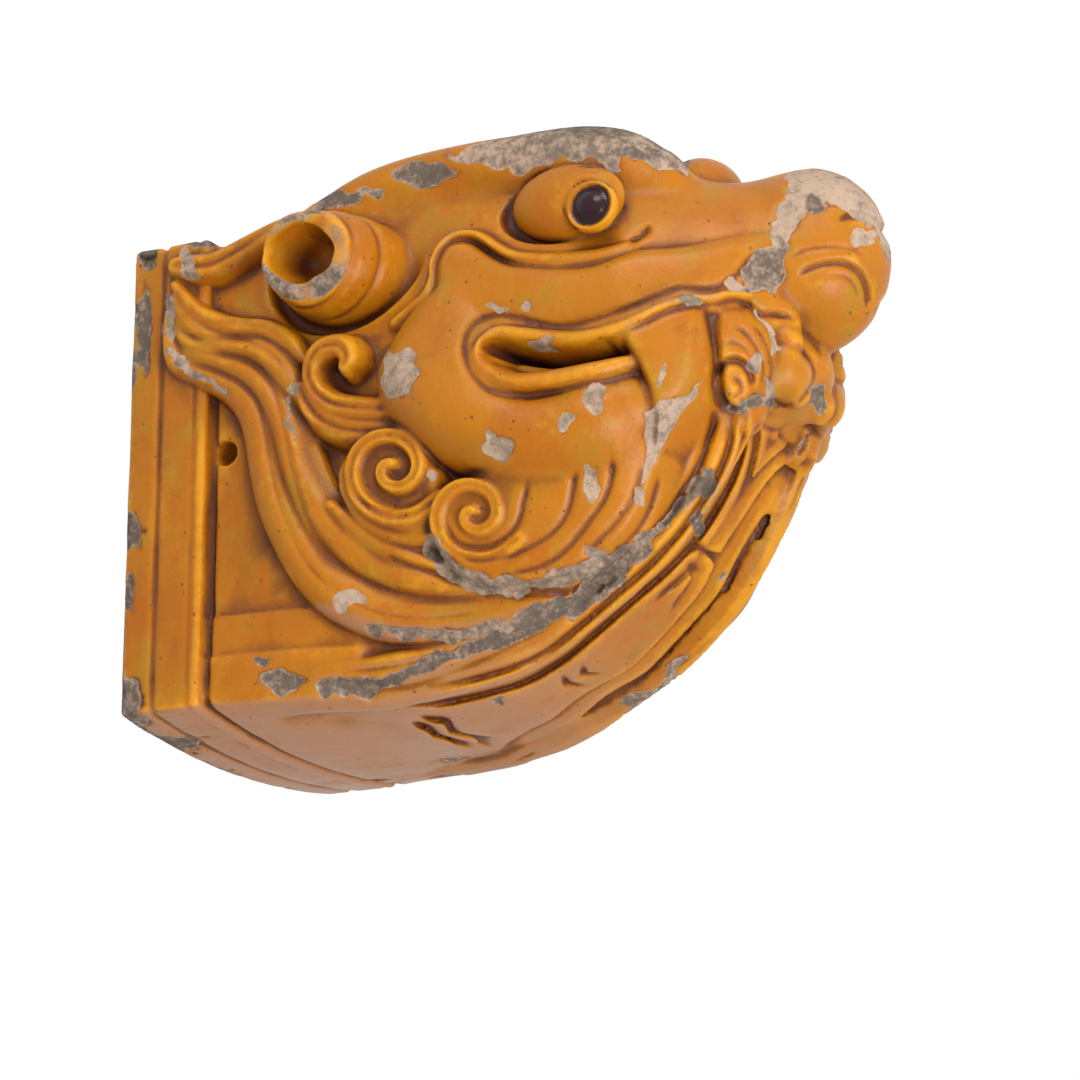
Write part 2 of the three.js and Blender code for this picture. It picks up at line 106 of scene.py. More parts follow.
# The front end of the hollow, and the nail hole's middle in x and z and its radius
HOLLOW_END = 238
NAIL_X, NAIL_Z, NAIL_RADIUS = 53, 128, 6
# The eye: its socket over x and z with the level of its floor, its ball, and the middle of its pupil
SOCKET_MIDDLE, SOCKET_RADII, SOCKET_FLOOR = (222.5, 236), (31, 20.5), -68
BALL_MIDDLE, BALL_RADII = (227, -72, 236.5), (29.5, 13, 19.5)
PUPIL_X, PUPIL_Z = 244, 228.5
PUPIL_BOX = [226, -104, 206], [264, -66, 252]

# The photograph's view, in millimetres from the underside of the frame and in pixels of its 1080 square
VIEW_TURN, VIEW_RISE = math.radians(26.0), math.radians(-16.0)
VIEW_TARGET = np.array([176.5, 0.0, 93.3])
VIEW_DISTANCE = 1725.0
VIEW_FOCUS = 3500.0
VIEW_MIDDLE = 540.0
VIEW_BACK = np.array([
    math.sin(VIEW_TURN) * math.cos(VIEW_RISE),
    -math.cos(VIEW_TURN) * math.cos(VIEW_RISE),
    math.sin(VIEW_RISE),
])
VIEW_RIGHT = np.array([math.cos(VIEW_TURN), math.sin(VIEW_TURN), 0.0])
VIEW_UP = np.cross(VIEW_RIGHT, -VIEW_BACK)
VIEW_PLACE = VIEW_TARGET + VIEW_BACK * VIEW_DISTANCE
PIXELS_PER_MM = VIEW_FOCUS / VIEW_DISTANCE
SENSOR = 36.0

# The stage, in metres and watts. Each light has a name, a place, a size and a power
FLOOR_SIZE, FLOOR_HEIGHT = 30, -1.9
FLOOR_COLOUR, FLOOR_ROUGHNESS = (0.72, 0.72, 0.71, 1), 0.9
LIGHTS = (
    ("key", (0.9, -1.3, 1.5), 0.9, 21),
    ("front", (1.5, -0.7, -0.5), 0.9, 25),
)

# Factors that scramble a cell's numbers into noise
HASH_FACTORS, HASH_SEED, HASH_MIX = (73856093, 19349663, 83492791), 2654435761, 1274126177


def seen(points):
    """Place in the photograph's frame of rows of points"""
    ray = points - VIEW_PLACE
    depth = -ray @ VIEW_BACK
    return np.stack([
        VIEW_MIDDLE + VIEW_FOCUS * (ray @ VIEW_RIGHT) / depth,
        VIEW_MIDDLE - VIEW_FOCUS * (ray @ VIEW_UP) / depth,
    ], 1)


def point_at(across, down, y):
    """The point at the given y that the photograph shows at a place in its frame"""
    ray = -VIEW_BACK + VIEW_RIGHT * (across - VIEW_MIDDLE) / VIEW_FOCUS
    ray = ray - VIEW_UP * (down - VIEW_MIDDLE) / VIEW_FOCUS
    return VIEW_PLACE + ray * (y - VIEW_PLACE[1]) / ray[1]


def inside(outline, points):
    """Whether each point lies inside a closed outline"""
    within = np.zeros(len(points), dtype=bool)
    for a, b in zip(outline, np.roll(outline, -1, 0)):
        crosses = (a[1] > points[:, 1]) != (b[1] > points[:, 1])
        along = (points[:, 1] - a[1]) / (b[1] - a[1] if b[1] != a[1] else 1e-9)
        within ^= crosses & (points[:, 0] < a[0] + along * (b[0] - a[0]))
    return within


def smooth_min(a, b, soft):
    """The lower of two fields, with a fillet of about the given size where they meet"""
    if soft <= 0:
        return np.minimum(a, b)
    overlap = np.maximum(soft - np.abs(a - b), 0) / soft
    return np.minimum(a, b) - overlap * overlap * soft * 0.25


def smooth_max(a, b, soft):
    """The higher of two fields, with a fillet where they meet"""
    return -smooth_min(-a, -b, soft)


def smooth_step(low, high, value):
    """Rise smoothly from 0 at low to 1 at high"""
    share = np.clip((value - low) / (high - low), 0, 1)
    return share * share * (3 - 2 * share)


def box_blur(field, radius, axis):
    """Moving average over 2 * radius + 1 samples along one axis"""
    padded = np.concatenate([
        np.repeat(np.take(field, [0], axis), radius + 1, axis),
        field,
        np.repeat(np.take(field, [-1], axis), radius, axis),
    ], axis)
    total = np.cumsum(padded, axis=axis, dtype=np.float64)
    width = 2 * radius + 1
    size = field.shape[axis]
    ahead = np.take(total, np.arange(width, width + size), axis)
    behind = np.take(total, np.arange(size), axis)
    return ((ahead - behind) / width).astype(np.float32)


def soften(field, radius, passes=2):
    """A near-Gaussian blur of a map"""
    for _ in range(passes):
        for axis in range(field.ndim):
            field = box_blur(field, radius, axis)
    return field


def value_noise(points, scale, seed):
    """Smooth noise from 0 to 1 at each row of points, with lumps of about the given size"""
    cell = points / scale
    base = np.floor(cell).astype(np.int64)
    share = cell - base
    share = share * share * (3 - 2 * share)
    total = np.zeros(len(points))
    for corner in range(8):
        step = np.array([corner & 1, corner >> 1 & 1, corner >> 2 & 1])
        mixed = seed * HASH_SEED
        for k in range(3):
            mixed = mixed ^ ((base[:, k] + step[k]) * HASH_FACTORS[k])
        mixed = (mixed ^ (mixed >> 13)) * HASH_MIX & 0xFFFFFFFF
        value = ((mixed ^ (mixed >> 16)) & 0xFFFF) / 65535.0
        weight = np.prod(np.where(step, share, 1 - share), axis=1)
        total += value * weight
    return total


class Path:
    """A smooth curve through stops. The first columns are places, the others sizes along it"""

    def __init__(self, stops, places=2, samples=10):
        stops = np.array(stops, dtype=np.float64)
        self.places = places
        ahead = 2 * stops[-1] - stops[-2]
        behind = 2 * stops[0] - stops[1]
        full = np.vstack([behind, stops, ahead])
        rows = []
        for i in range(1, len(full) - 2):
            for t in np.arange(samples) / samples:
                rows.append(0.5 * (
                    2 * full[i] + (full[i + 1] - full[i - 1]) * t
                    + (2 * full[i - 1] - 5 * full[i] + 4 * full[i + 1] - full[i + 2]) * t * t
                    + (3 * full[i] - full[i - 1] - 3 * full[i + 1] + full[i + 2]) * t ** 3))
        rows.append(full[-2])
        self.rows = np.array(rows)

    def measure(self, points):
        """Distance to the curve, side of it, share of its length, and its sizes at the nearest place"""
        p = self.places
        best = np.full(len(points), 1e9)
        side = np.zeros(len(points))
        share = np.zeros(len(points))
        sizes = np.zeros((len(points), self.rows.shape[1] - p))
        last = len(self.rows) - 1
        for i in range(last):
            a, b = self.rows[i], self.rows[i + 1]
            along = b[:p] - a[:p]
            length = max(along @ along, 1e-9)
            offset = points - a[:p]
            t = np.clip(offset @ along / length, 0, 1)
            gap = offset - t[:, None] * along
            distance = np.sqrt((gap * gap).sum(1))
            near = distance < best
            best[near] = distance[near]
            share[near] = (i + t[near]) / last
            sizes[near] = a[p:] + t[near, None] * (b[p:] - a[p:])
            if p == 2:
                side[near] = np.sign(along[0] * gap[near, 1] - along[1] * gap[near, 0])
        return best, side, share, sizes


class Flank:
    """Half width of the head over x and z. Its relief is carved on this map"""

    def __init__(self, xs, zs):
        self.xs, self.zs = xs, zs
        self.pitch = xs[1] - xs[0]
        column = [np.interp(xs, SECTIONS[:, 0], SECTIONS[:, k])[:, None] for k in range(1, 6)]
        low, high, sole, flank, crown = column
        level = np.clip((zs[None, :] - low) / (high - low), 0, 1)
        lower = sole + (flank - sole) * np.sin(np.pi / 2 * np.clip(level / FLANK_START, 0, 1))
        rise = np.clip((level - FLANK_END) / (1 - FLANK_END), 0, 1)
        upper = flank - (flank - crown) * (1 - np.cos(np.pi / 2 * rise))
        base = np.where(level < FLANK_START, lower, upper)
        self.base = soften(base.astype(np.float32), max(1, int(5 / self.pitch)))
        self.map = self.base.copy()

    def window(self, rows, reach):
        """The part of the map round some rows, with its points and its shape"""
        x0, x1 = np.searchsorted(self.xs, [rows[:, 0].min() - reach, rows[:, 0].max() + reach])
        z0, z1 = np.searchsorted(self.zs, [rows[:, 1].min() - reach, rows[:, 1].max() + reach])
        place = np.s_[max(x0, 0):x1, max(z0, 0):z1]
        gx, gz = np.meshgrid(self.xs[place[0]], self.zs[place[1]], indexing="ij")
        return place, np.stack([gx.ravel(), gz.ravel()], 1), gx.shape

    def lock(self, stops, strands=1, valley=0.4, soft=1.5, power=0.5):
        """Raise a lock of hair or a lip. Each stop is x, z, width, height"""
        path = Path(stops)
        reach = path.rows[:, 2].max() * 0.6 + 2
        place, points, shape = self.window(path.rows, reach)
        distance, side, _, sizes = path.measure(points)
        half = np.maximum(sizes[:, 0] / 2, 0.4)
        across = distance / half
        dome = np.clip(1 - across ** 2, 0, 1) ** power
        if strands > 1:
            turn = (side * across + 1) / 2 * strands
            dome = dome * (1 - valley * (1 - np.abs(np.sin(np.pi * turn)) ** 0.6))
        raised = np.where(across < 1, self.base[place].ravel() + sizes[:, 1] * dome, -1e3)
        here = self.map[place].ravel()
        blended = np.where(across < 1, smooth_max(here, raised, soft), here)
        self.map[place] = blended.reshape(shape)

    def drawn(self, stops):
        """Turn stops drawn on the photograph, as across, down and sizes that end with a height, into stops
        over x and z. The height tells how far before the flank each lies"""
        rows = []
        for across, down, *sizes in stops:
            lift = sizes[-1] if sizes else 0
            y = -95.0
            # The flank's depth depends on the place, and the place on the depth, so each is found in turn
            for _ in range(12):
                point = point_at(across, down, y)
                i = int(np.clip(np.searchsorted(self.xs, point[0]), 0, len(self.xs) - 1))
                j = int(np.clip(np.searchsorted(self.zs, point[2]), 0, len(self.zs) - 1))
                y = -(self.base[i, j] + lift)
            rows.append([point[0], point[2], *sizes])
        return rows

    def plateau(self, outline, height, edge, power=0.5, soft=1.5):
        """Raise all that lies inside an outline, with an edge rounded over the given width"""
        outline = np.array([row[:2] for row in outline], dtype=np.float64)
        path = Path(np.vstack([outline, outline[:1]]))
        place, points, shape = self.window(path.rows, 4)
        distance, _, _, _ = path.measure(points)
        within = inside(path.rows, points)
        rise = np.clip(distance / edge, 0, 1)
        raised = height * (1 - (1 - rise) ** 2) ** power
        here = self.map[place].ravel()
        ground = self.base[place].ravel()
        blended = np.where(within, smooth_max(here, ground + raised, soft), here)
        self.map[place] = blended.reshape(shape)

    def groove(self, stops, width=2.2, depth=2.5):
        """Cut a line. Each stop is x, z"""
        path = Path(stops)
        place, points, shape = self.window(path.rows, width * 3)
        distance, _, share, _ = path.measure(points)
        fade = smooth_step(0, 0.08, share) * smooth_step(0, 0.08, 1 - share)
        cut = depth * np.exp(-(distance / width) ** 2) * (0.25 + 0.75 * fade)
        self.map[place] -= cut.reshape(shape).astype(np.float32)


def spiral(across, down, start, turns, outer, inner, width, height, count=18, tighten=0.85):
    """Stops, drawn on the photograph, of a curl that winds in clockwise"""
    stops = []
    for i in range(count):
        share = i / (count - 1)
        angle = start - share * turns * 2 * math.pi
        radius = outer + (inner - outer) * share ** tighten
        stops.append([
            across + radius * math.cos(angle), down - radius * math.sin(angle),
            width * (1 - 0.45 * share), height * (1 + 0.15 * share),
        ])
    return stops


def carve_flank(flank):
    """All of the relief that lies on the flank, from the panel behind the mane to the lips"""
    carve_mane(flank)
    carve_face(flank)
    carve_curls(flank)
    carve_jaw(flank)


def carve_mane(flank):
    """Strips round the panel, the mane's locks and the ear-like lock above them"""
    # Framing strips at the foot of the flank
    gx, gz = flank.xs[:, None], flank.zs[None, :]
    on_panel = (gx > BAND_END) & (gx < PANEL_END)
    strip_end = smooth_step(0, 6, PANEL_END - gx)
    for height, proud in STRIP_HEIGHTS:
        flank.map += np.where(on_panel & (gz < height), proud * strip_end, 0).astype(np.float32)
    flank.groove([[SEAM, z] for z in (2, 70, 140, 205)], width=1.6, depth=4)
    # Low lock along the foot, then the strands of the mane from the outermost inwards
    flank.lock([[104, 14, 8, 4], [135, 14, 17, 7], [166, 19, 14, 7], [196, 29, 10, 7],
                [226, 44, 3, 4]], strands=2)
    flank.lock([
        [24, 202, 16, 9], [33, 188, 26, 9], [50, 178, 36, 8], [70, 166, 40, 8], [84, 143, 38, 8],
        [92, 116, 36, 8], [104, 90, 36, 8], [122, 66, 40, 8], [146, 50, 36, 7], [172, 43, 26, 6],
        [205, 41, 12, 5],
    ], power=0.22)
    flank.lock([
        [22, 203, 9, 11], [26, 180, 15, 12], [43, 168, 15, 10], [57, 160, 16, 10], [68, 150, 19, 11],
        [75, 137, 21, 11], [79, 118, 21, 11], [85, 96, 22, 11], [97, 73, 24, 11], [109, 56, 25, 11],
        [125, 44, 25, 11], [144, 36, 22, 10], [163, 34, 20, 10], [185, 36, 17, 9], [206, 39, 10, 8],
        [227, 42, 2, 5],
    ], power=0.4)
    flank.lock([
        [26, 199, 10, 12], [38, 182, 14, 12], [54, 173, 14, 11], [68, 165, 16, 11], [79, 155, 18, 12],
        [87, 142, 18, 12], [92, 128, 18, 12], [96, 114, 18, 12], [104, 97, 20, 12], [114, 80, 22, 12],
        [128, 67, 22, 12], [144, 57, 20, 11], [160, 51, 17, 11], [178, 46, 12, 9], [197, 43, 3, 7],
    ], power=0.4)
    flank.lock([[26, 208, 10, 12], [36, 194, 13, 12], [47, 185, 13, 11], [60, 180, 13, 11],
                [75, 175, 15, 12], [86, 165, 17, 12], [95, 152, 14, 11], [102, 138, 6, 9]], power=0.4)
    flank.lock([[27, 216, 8, 12], [39, 201, 11, 12], [50, 194, 12, 11], [62, 190, 12, 10],
                [76, 187, 12, 10], [89, 179, 12, 10], [99, 167, 7, 8]], power=0.4)
    # Ear-like lock at the top corner
    flank.lock([[27, 226, 15, 13], [36, 224, 19, 14], [48, 224, 19, 13], [64, 232, 19, 12],
                [80, 243, 18, 11], [100, 254, 12, 8]], strands=2, valley=0.3)
    # Small leaf between mane and curls
    flank.lock([[116, 92, 8, 12], [134, 74, 16, 13], [155, 62, 14, 12], [176, 56, 4, 9]], power=0.5)


def carve_face(flank):
    """Raised side of the face, edged by a flame-shaped ridge below the eye"""
    face = flank.drawn([
        [400, 330], [420, 302], [434, 292], [435, 270], [439, 256], [448, 244], [460, 239], [474, 241],
        [488, 250], [503, 259], [522, 265], [560, 268], [600, 263], [640, 250], [690, 246], [760, 240],
        [810, 250], [820, 330], [780, 345], [700, 380], [560, 420], [440, 400],
    ])
    flank.plateau(face, 7.5, 9, power=0.7, soft=2)
    flank.lock(flank.drawn([
        [392, 322, 7, 5], [410, 306, 7, 6], [424, 292, 7, 7], [430, 276, 7, 7], [431, 260, 7, 7],
        [440, 243, 7, 7], [453, 234, 7, 7], [467, 232, 7, 7], [480, 236, 7, 7], [493, 245, 7, 6],
        [508, 253, 8, 6], [528, 257, 9, 5], [560, 258, 10, 5], [600, 253, 10, 5], [626, 245, 8, 4],
        [642, 237, 4, 2],
    ]), power=0.6, soft=2)


def carve_curls(flank):
    """Hook, middle curl and beard, which the photograph shows below the horn and the jaw"""
    # Hook curl with its strands swept in from under the jaw
    flank.lock(flank.drawn([
        [380, 430, 17, 12], [345, 428, 18, 13], [318, 418, 18, 14], [303, 400, 15, 14], [296, 386, 10, 13],
    ]), strands=2, valley=0.3)
    flank.lock(flank.drawn([
        [390, 408, 17, 12], [350, 406, 17, 14], [324, 399, 16, 15], [308, 382, 14, 16], [306, 362, 15, 17],
        [317, 346, 17, 18], [334, 343, 18, 18], [343, 353, 16, 18], [340, 364, 11, 17],
    ]), strands=2, valley=0.22)
    # Middle curl
    middle = spiral(388, 466, -0.6, 1.6, 56, 6, 16, 18)
    flank.plateau(flank.drawn([
        [346, 452, 10], [336, 475, 10], [342, 505, 10], [362, 528, 10], [393, 541, 10], [426, 538, 10],
        [440, 505, 10], [440, 470, 10], [410, 440, 10], [370, 433, 10],
    ]), 13, 4)
    flank.lock(flank.drawn([[436, 528, 13, 12], [410, 533, 16, 14], [384, 528, 16, 15],
                            [358, 512, 14, 15], [341, 486, 9, 14]]), strands=2, valley=0.3)
    flank.lock(flank.drawn(middle), strands=2, valley=0.25)
    # Beard: a fan of strands swept back into a curl
    flank.plateau(flank.drawn([
        [430, 492, 16], [425, 516, 16], [430, 548, 16], [446, 572, 16], [473, 588, 16], [508, 591, 16],
        [537, 588, 16], [569, 580, 16], [601, 564, 16], [628, 543, 15], [648, 515, 14], [665, 480, 13],
        [672, 450, 12], [640, 430, 12], [560, 440, 14], [500, 460, 15], [455, 478, 16],
    ]), 17, 7)
    flank.lock(flank.drawn(spiral(470, 512, -0.5, 1.6, 52, 5, 15, 20)), strands=2, valley=0.22)


def carve_jaw(flank):
    """Cheek, jaw, lips, fang and whisker curl"""
    # Bulb of the cheek and the jaw that runs forward from it
    flank.lock(flank.drawn([
        [446, 300, 26, 8], [440, 330, 44, 15], [442, 362, 50, 22], [458, 392, 52, 26], [486, 408, 46, 26],
    ]), power=0.5, soft=4)
    flank.lock(flank.drawn([
        [440, 296, 12, 6], [424, 318, 26, 12], [410, 345, 38, 18], [404, 370, 46, 23], [424, 397, 46, 27],
        [462, 416, 48, 29], [508, 428, 48, 29], [556, 424, 48, 29], [596, 411, 50, 28], [626, 404, 40, 24],
    ]), power=0.5, soft=6)
    # Lower lip, from the corner of the mouth forward
    flank.lock(flank.drawn([
        [476, 344, 8, 20], [474, 356, 10, 21], [484, 370, 14, 23], [508, 380, 16, 25], [545, 378, 17, 26],
        [590, 369, 16, 26], [628, 360, 12, 22],
    ]), power=0.4, soft=2)
    # Fang
    flank.plateau(flank.drawn([
        [612, 336, 16], [640, 312, 14], [665, 300, 14], [712, 296, 14], [716, 335, 20], [714, 365, 22],
        [704, 392, 23], [688, 415, 23], [669, 440, 23], [652, 466, 20], [641, 482, 18], [641, 452, 24],
        [640, 430, 25], [637, 405, 26], [631, 380, 26], [622, 358, 24],
    ]), 25, 9, power=0.62, soft=0.8)
    # Whisker curl in front of the fang, whose strands are scored later
    flank.plateau(flank.drawn([
        [707, 334, 16], [710, 308, 15], [732, 302, 15], [761, 318, 16], [775, 340, 16], [777, 360, 16],
        [772, 385, 16], [762, 402, 16], [745, 409, 16], [728, 406, 16], [715, 392, 16], [709, 365, 16],
    ]), 17, 8, power=0.6, soft=1)
    # Upper lip, from the corner of the mouth to the snout, over the top of the fang
    flank.lock(flank.drawn([
        [748, 292, 5, 12], [728, 293, 9, 17], [706, 297, 11, 25], [680, 300, 12, 27], [650, 312, 14, 27],
        [615, 328, 15, 25], [580, 336, 14, 22], [548, 336, 13, 19], [515, 332, 12, 19], [494, 330, 11, 20],
        [478, 340, 9, 20],
    ]), power=0.4, soft=2)
    # Mouth slit
    flank.groove(flank.drawn([
        [486, 346, 16], [500, 349, 16], [522, 353, 16], [548, 356, 16], [575, 354, 16], [600, 350, 16],
        [616, 346, 16],
    ]), width=2.0, depth=24)


# Scored lines: half width and depth in mm, then places across and down in the photograph
FLANK_LINES = [
    # Between the strands of the mane
    (1.2, 1.6, [[168, 310], [176, 326], [190, 336], [210, 338], [240, 339], [260, 346], [276, 358],
                [286, 372]]),
    (1.2, 1.6, [[168, 330], [183, 346], [205, 353], [235, 358], [255, 367], [268, 381], [277, 400],
                [284, 430], [294, 480], [312, 527], [340, 562], [378, 585], [420, 595], [470, 596],
                [510, 588]]),
    (1.0, 1.2, [[172, 348], [190, 364], [215, 372], [240, 384], [256, 402], [264, 430], [271, 470],
                [285, 520], [306, 562], [340, 595], [384, 614], [430, 618], [480, 612], [530, 600]]),
    (1.0, 1.0, [[186, 300], [196, 314], [212, 322], [236, 323], [262, 326], [282, 338], [296, 350]]),
    # Notch at the front corner of the eye, and round the face
    (1.3, 3.6, [[630, 243], [637, 239], [643, 234], [649, 227]]),
    (1.5, 2.6, [[433, 296], [434, 272], [438, 256], [447, 244], [459, 239], [472, 241], [486, 250],
                [501, 259], [522, 265]]),
    (1.3, 2.2, [[640, 304], [600, 318], [560, 326], [520, 318], [496, 315], [478, 321], [467, 334],
                [464, 352], [470, 372], [485, 388], [504, 395], [525, 396], [552, 391], [585, 382]]),
    (1.3, 2.4, [[600, 318], [620, 311], [640, 303], [660, 295], [680, 288], [700, 289], [714, 288],
                [726, 283], [739, 272], [748, 260], [756, 251]]),
    (1.5, 3.0, [[612, 338], [640, 325], [660, 314], [680, 307], [700, 305], [716, 304], [734, 300],
                [746, 304], [760, 314], [780, 316], [800, 320], [814, 330], [824, 346]]),
    (1.0, 1.4, [[494, 361], [508, 365], [522, 366]]),
    # Hook curl, middle curl and beard
    (0.9, 1.2, [[304, 352], [303, 366], [307, 382], [318, 396], [334, 403], [352, 405], [368, 404]]),
    (0.9, 1.2, [[290, 396], [297, 412], [310, 424], [326, 431], [346, 434]]),
    (0.9, 1.2, [[345, 462], [346, 482], [358, 500], [384, 510], [410, 506], [434, 492]]),
    (1.2, 2.4, [[529, 481], [524, 500], [519, 520], [507, 537], [484, 548], [457, 543], [444, 522]]),
    (1.2, 2.4, [[577, 467], [573, 490], [569, 508], [560, 525], [546, 538], [516, 554], [478, 562],
                [450, 556]]),
    (1.2, 2.4, [[612, 456], [612, 476], [604, 500], [588, 523], [564, 552], [537, 568], [500, 576]]),
    (1.2, 2.2, [[642, 462], [638, 486], [628, 508], [612, 528], [600, 540], [580, 560]]),
    (1.6, 3.0, [[660, 470], [655, 495], [645, 520], [625, 545], [601, 565], [569, 581], [537, 589],
                [508, 592]]),
    (1.2, 1.8, [[384, 553], [408, 564], [435, 573], [452, 582]]),
    # Edge of the fang and of the whisker curl
    (1.2, 3.4, [[706, 308], [710, 326], [714, 348], [715, 366], [713, 384], [716, 400], [724, 412]]),
    (1.1, 2.0, [[738, 326], [750, 338], [759, 353], [764, 370], [761, 388]]),
    (1.0, 1.6, [[750, 322], [762, 337], [769, 354], [771, 374], [767, 392]]),
    (0.9, 1.2, [[716, 348], [732, 342], [746, 349], [755, 362]]),
    (1.5, 4.4, [[717, 378], [720, 369], [727, 362], [737, 361], [746, 367], [751, 377], [751, 387]]),
    (1.0, 2.2, [[733, 378], [740, 382], [742, 390], [737, 397], [729, 396]]),
]

THROAT_LINES = [
    # Rims of the throat
    (1.6, 4.5, [[715, 402], [712, 428], [702, 458], [690, 482], [668, 514], [640, 545], [604, 580],
                [574, 606]]),
    (1.5, 5.5, [[730, 416], [730, 442], [720, 470], [704, 498], [680, 532], [650, 565], [616, 595],
                [580, 626], [546, 652], [510, 668], [470, 680], [430, 688]]),
    (1.5, 5.5, [[743, 416], [743, 442], [735, 472], [720, 502], [697, 538], [664, 573], [628, 604],
                [594, 634], [562, 660], [528, 680], [490, 692], [440, 703], [398, 706]]),
    (1.7, 5.0, [[792, 428], [780, 446], [770, 466], [760, 492], [748, 520], [736, 552], [728, 588],
                [714, 620], [698, 646], [678, 666], [648, 685], [618, 696], [588, 705], [556, 720],
                [522, 744]]),
    (1.3, 4.0, [[802, 440], [791, 462], [778, 492], [764, 524], [752, 556]]),
    (1.4, 4.0, [[757, 418], [756, 440], [750, 470], [738, 505], [716, 540], [684, 575], [650, 605]]),
    (1.2, 3.0, [[771, 430], [767, 455], [758, 484], [746, 516], [728, 550]]),
    # Arch of the lip, tongue and chin
    (1.2, 2.0, [[776, 343], [794, 346], [807, 356], [814, 370], [812, 384], [803, 398], [794, 406]]),
    (1.0, 1.4, [[774, 326], [796, 328], [810, 338], [820, 354], [824, 374]]),
    (1.2, 2.4, [[768, 398], [780, 405], [795, 404]]),
    (1.1, 2.0, [[758, 421], [768, 429], [781, 430], [788, 424]]),
]

# Rim of the throat, as x, y, z and radius
THROAT_RIM = [
    [96, -80, 3, 5], [134, -69, 4, 6], [172, -60, 12, 7], [216, -53, 31, 7.5], [258, -46, 63, 7.5],
    [287, -40, 101, 7], [302, -36, 130, 7],
]

# Brackets on the belly
BELLY_LINES = [
    (1.0, 6.5, [[688, 550], [700, 547], [705, 560], [712, 562], [720, 559], [727, 563]]),
    (1.0, 6.5, [[688, 562], [695, 573], [708, 578], [715, 579], [722, 586], [722, 598]]),
    (1.0, 6.5, [[583, 665], [584, 676], [590, 682], [600, 684], [612, 682], [620, 690], [636, 690]]),
    (1.0, 6.5, [[562, 675], [570, 688], [580, 692], [592, 692], [597, 699], [600, 707]]),
    (1.0, 6.5, [[414, 716], [432, 719], [446, 721], [452, 730], [462, 738], [480, 741], [492, 740],
                [500, 748]]),
    (1.0, 6.5, [[410, 722], [428, 728], [440, 738], [456, 742], [466, 750], [484, 753]]),
]

# Nostril, and folds of the nose
NOSE_LINES = [
    (1.4, 3.0, [[798, 277], [808, 270], [824, 265], [842, 264], [855, 270], [863, 281], [867, 296],
                [866, 312]]),
    (1.0, 1.6, [[806, 282], [820, 275], [838, 274], [850, 279], [857, 289], [859, 304]]),
    (1.6, 3.6, [[838, 220], [850, 216], [862, 216], [874, 222], [884, 233], [889, 248]]),
    (1.0, 1.3, [[790, 258], [806, 250], [828, 247], [850, 249], [868, 258]]),
]


class Clay:
    """Distance field of the near half of the head on a grid of voxels. It is negative inside the clay"""

    def __init__(self, pitch):
        self.pitch = pitch
        self.field = None
        self.axes = [
            np.arange(low, high + pitch * 0.5, pitch, dtype=np.float32)
            for low, high in zip(GRID_LOW, GRID_HIGH)
        ]
        # The last plane across is exactly the middle of the head
        self.axes[1] = -np.arange(len(self.axes[1]) - 1, -1, -1, dtype=np.float32) * pitch

    def window(self, low, high):
        """The part of the grid between two corners"""
        place = []
        for k in range(3):
            start, stop = np.searchsorted(self.axes[k], [low[k], high[k]])
            place.append(slice(max(start, 0), max(stop, start + 1)))
        return tuple(place)

    def coordinates(self, place):
        """x, y and z over a window, each along its own axis of the grid"""
        x, y, z = (self.axes[k][place[k]] for k in range(3))
        return x[:, None, None], y[None, :, None], z[None, None, :]

    def add(self, low, high, shape, soft):
        """Join a shape on, with a fillet of the given size"""
        place = self.window(np.array(low) - soft, np.array(high) + soft)
        self.field[place] = smooth_min(self.field[place], self.work_out(shape, place), soft)

    def cut(self, low, high, shape, soft):
        """Take a shape away, with its edges rounded by the given size"""
        place = self.window(np.array(low) - soft, np.array(high) + soft)
        self.field[place] = smooth_max(self.field[place], -self.work_out(shape, place), soft)

    def work_out(self, shape, place):
        """Values of a shape over a window. A roll is smooth, so it is worked out on every third voxel"""
        x, y, z = self.coordinates(place)
        if not getattr(shape, "coarse", False):
            return shape(x, y, z)
        values = [c.ravel() for c in (x, y, z)]
        spots = [np.append(c[:-1:3], c[-1]) for c in values]
        field = shape(spots[0][:, None, None], spots[1][None, :, None], spots[2][None, None, :])
        for k in range(3):
            spot = np.interp(values[k], spots[k], np.arange(len(spots[k])))
            base = np.minimum(spot.astype(int), max(len(spots[k]) - 2, 0))
            along = [-1 if axis == k else 1 for axis in range(3)]
            share = (spot - base).reshape(along).astype(np.float32)
            ahead = np.minimum(base + 1, len(spots[k]) - 1)
            field = np.take(field, base, k) * (1 - share) + np.take(field, ahead, k) * share
        return field

    def sample(self, field, points):
        """Value of a field at points, by straight mixing between voxels"""
        spot = []
        for k in range(3):
            steps = (points[:, k] - self.axes[k][0]) / self.pitch
            spot.append(np.clip(steps, 0, len(self.axes[k]) - 1.001))
        base = [np.floor(s).astype(np.int64) for s in spot]
        share = [s - b for s, b in zip(spot, base)]
        total = 0
        for corner in range(8):
            step = (corner & 1, corner >> 1 & 1, corner >> 2 & 1)
            weight = 1
            for k in range(3):
                weight = weight * (share[k] if step[k] else 1 - share[k])
            total = total + weight * field[base[0] + step[0], base[1] + step[1], base[2] + step[2]]
        return total


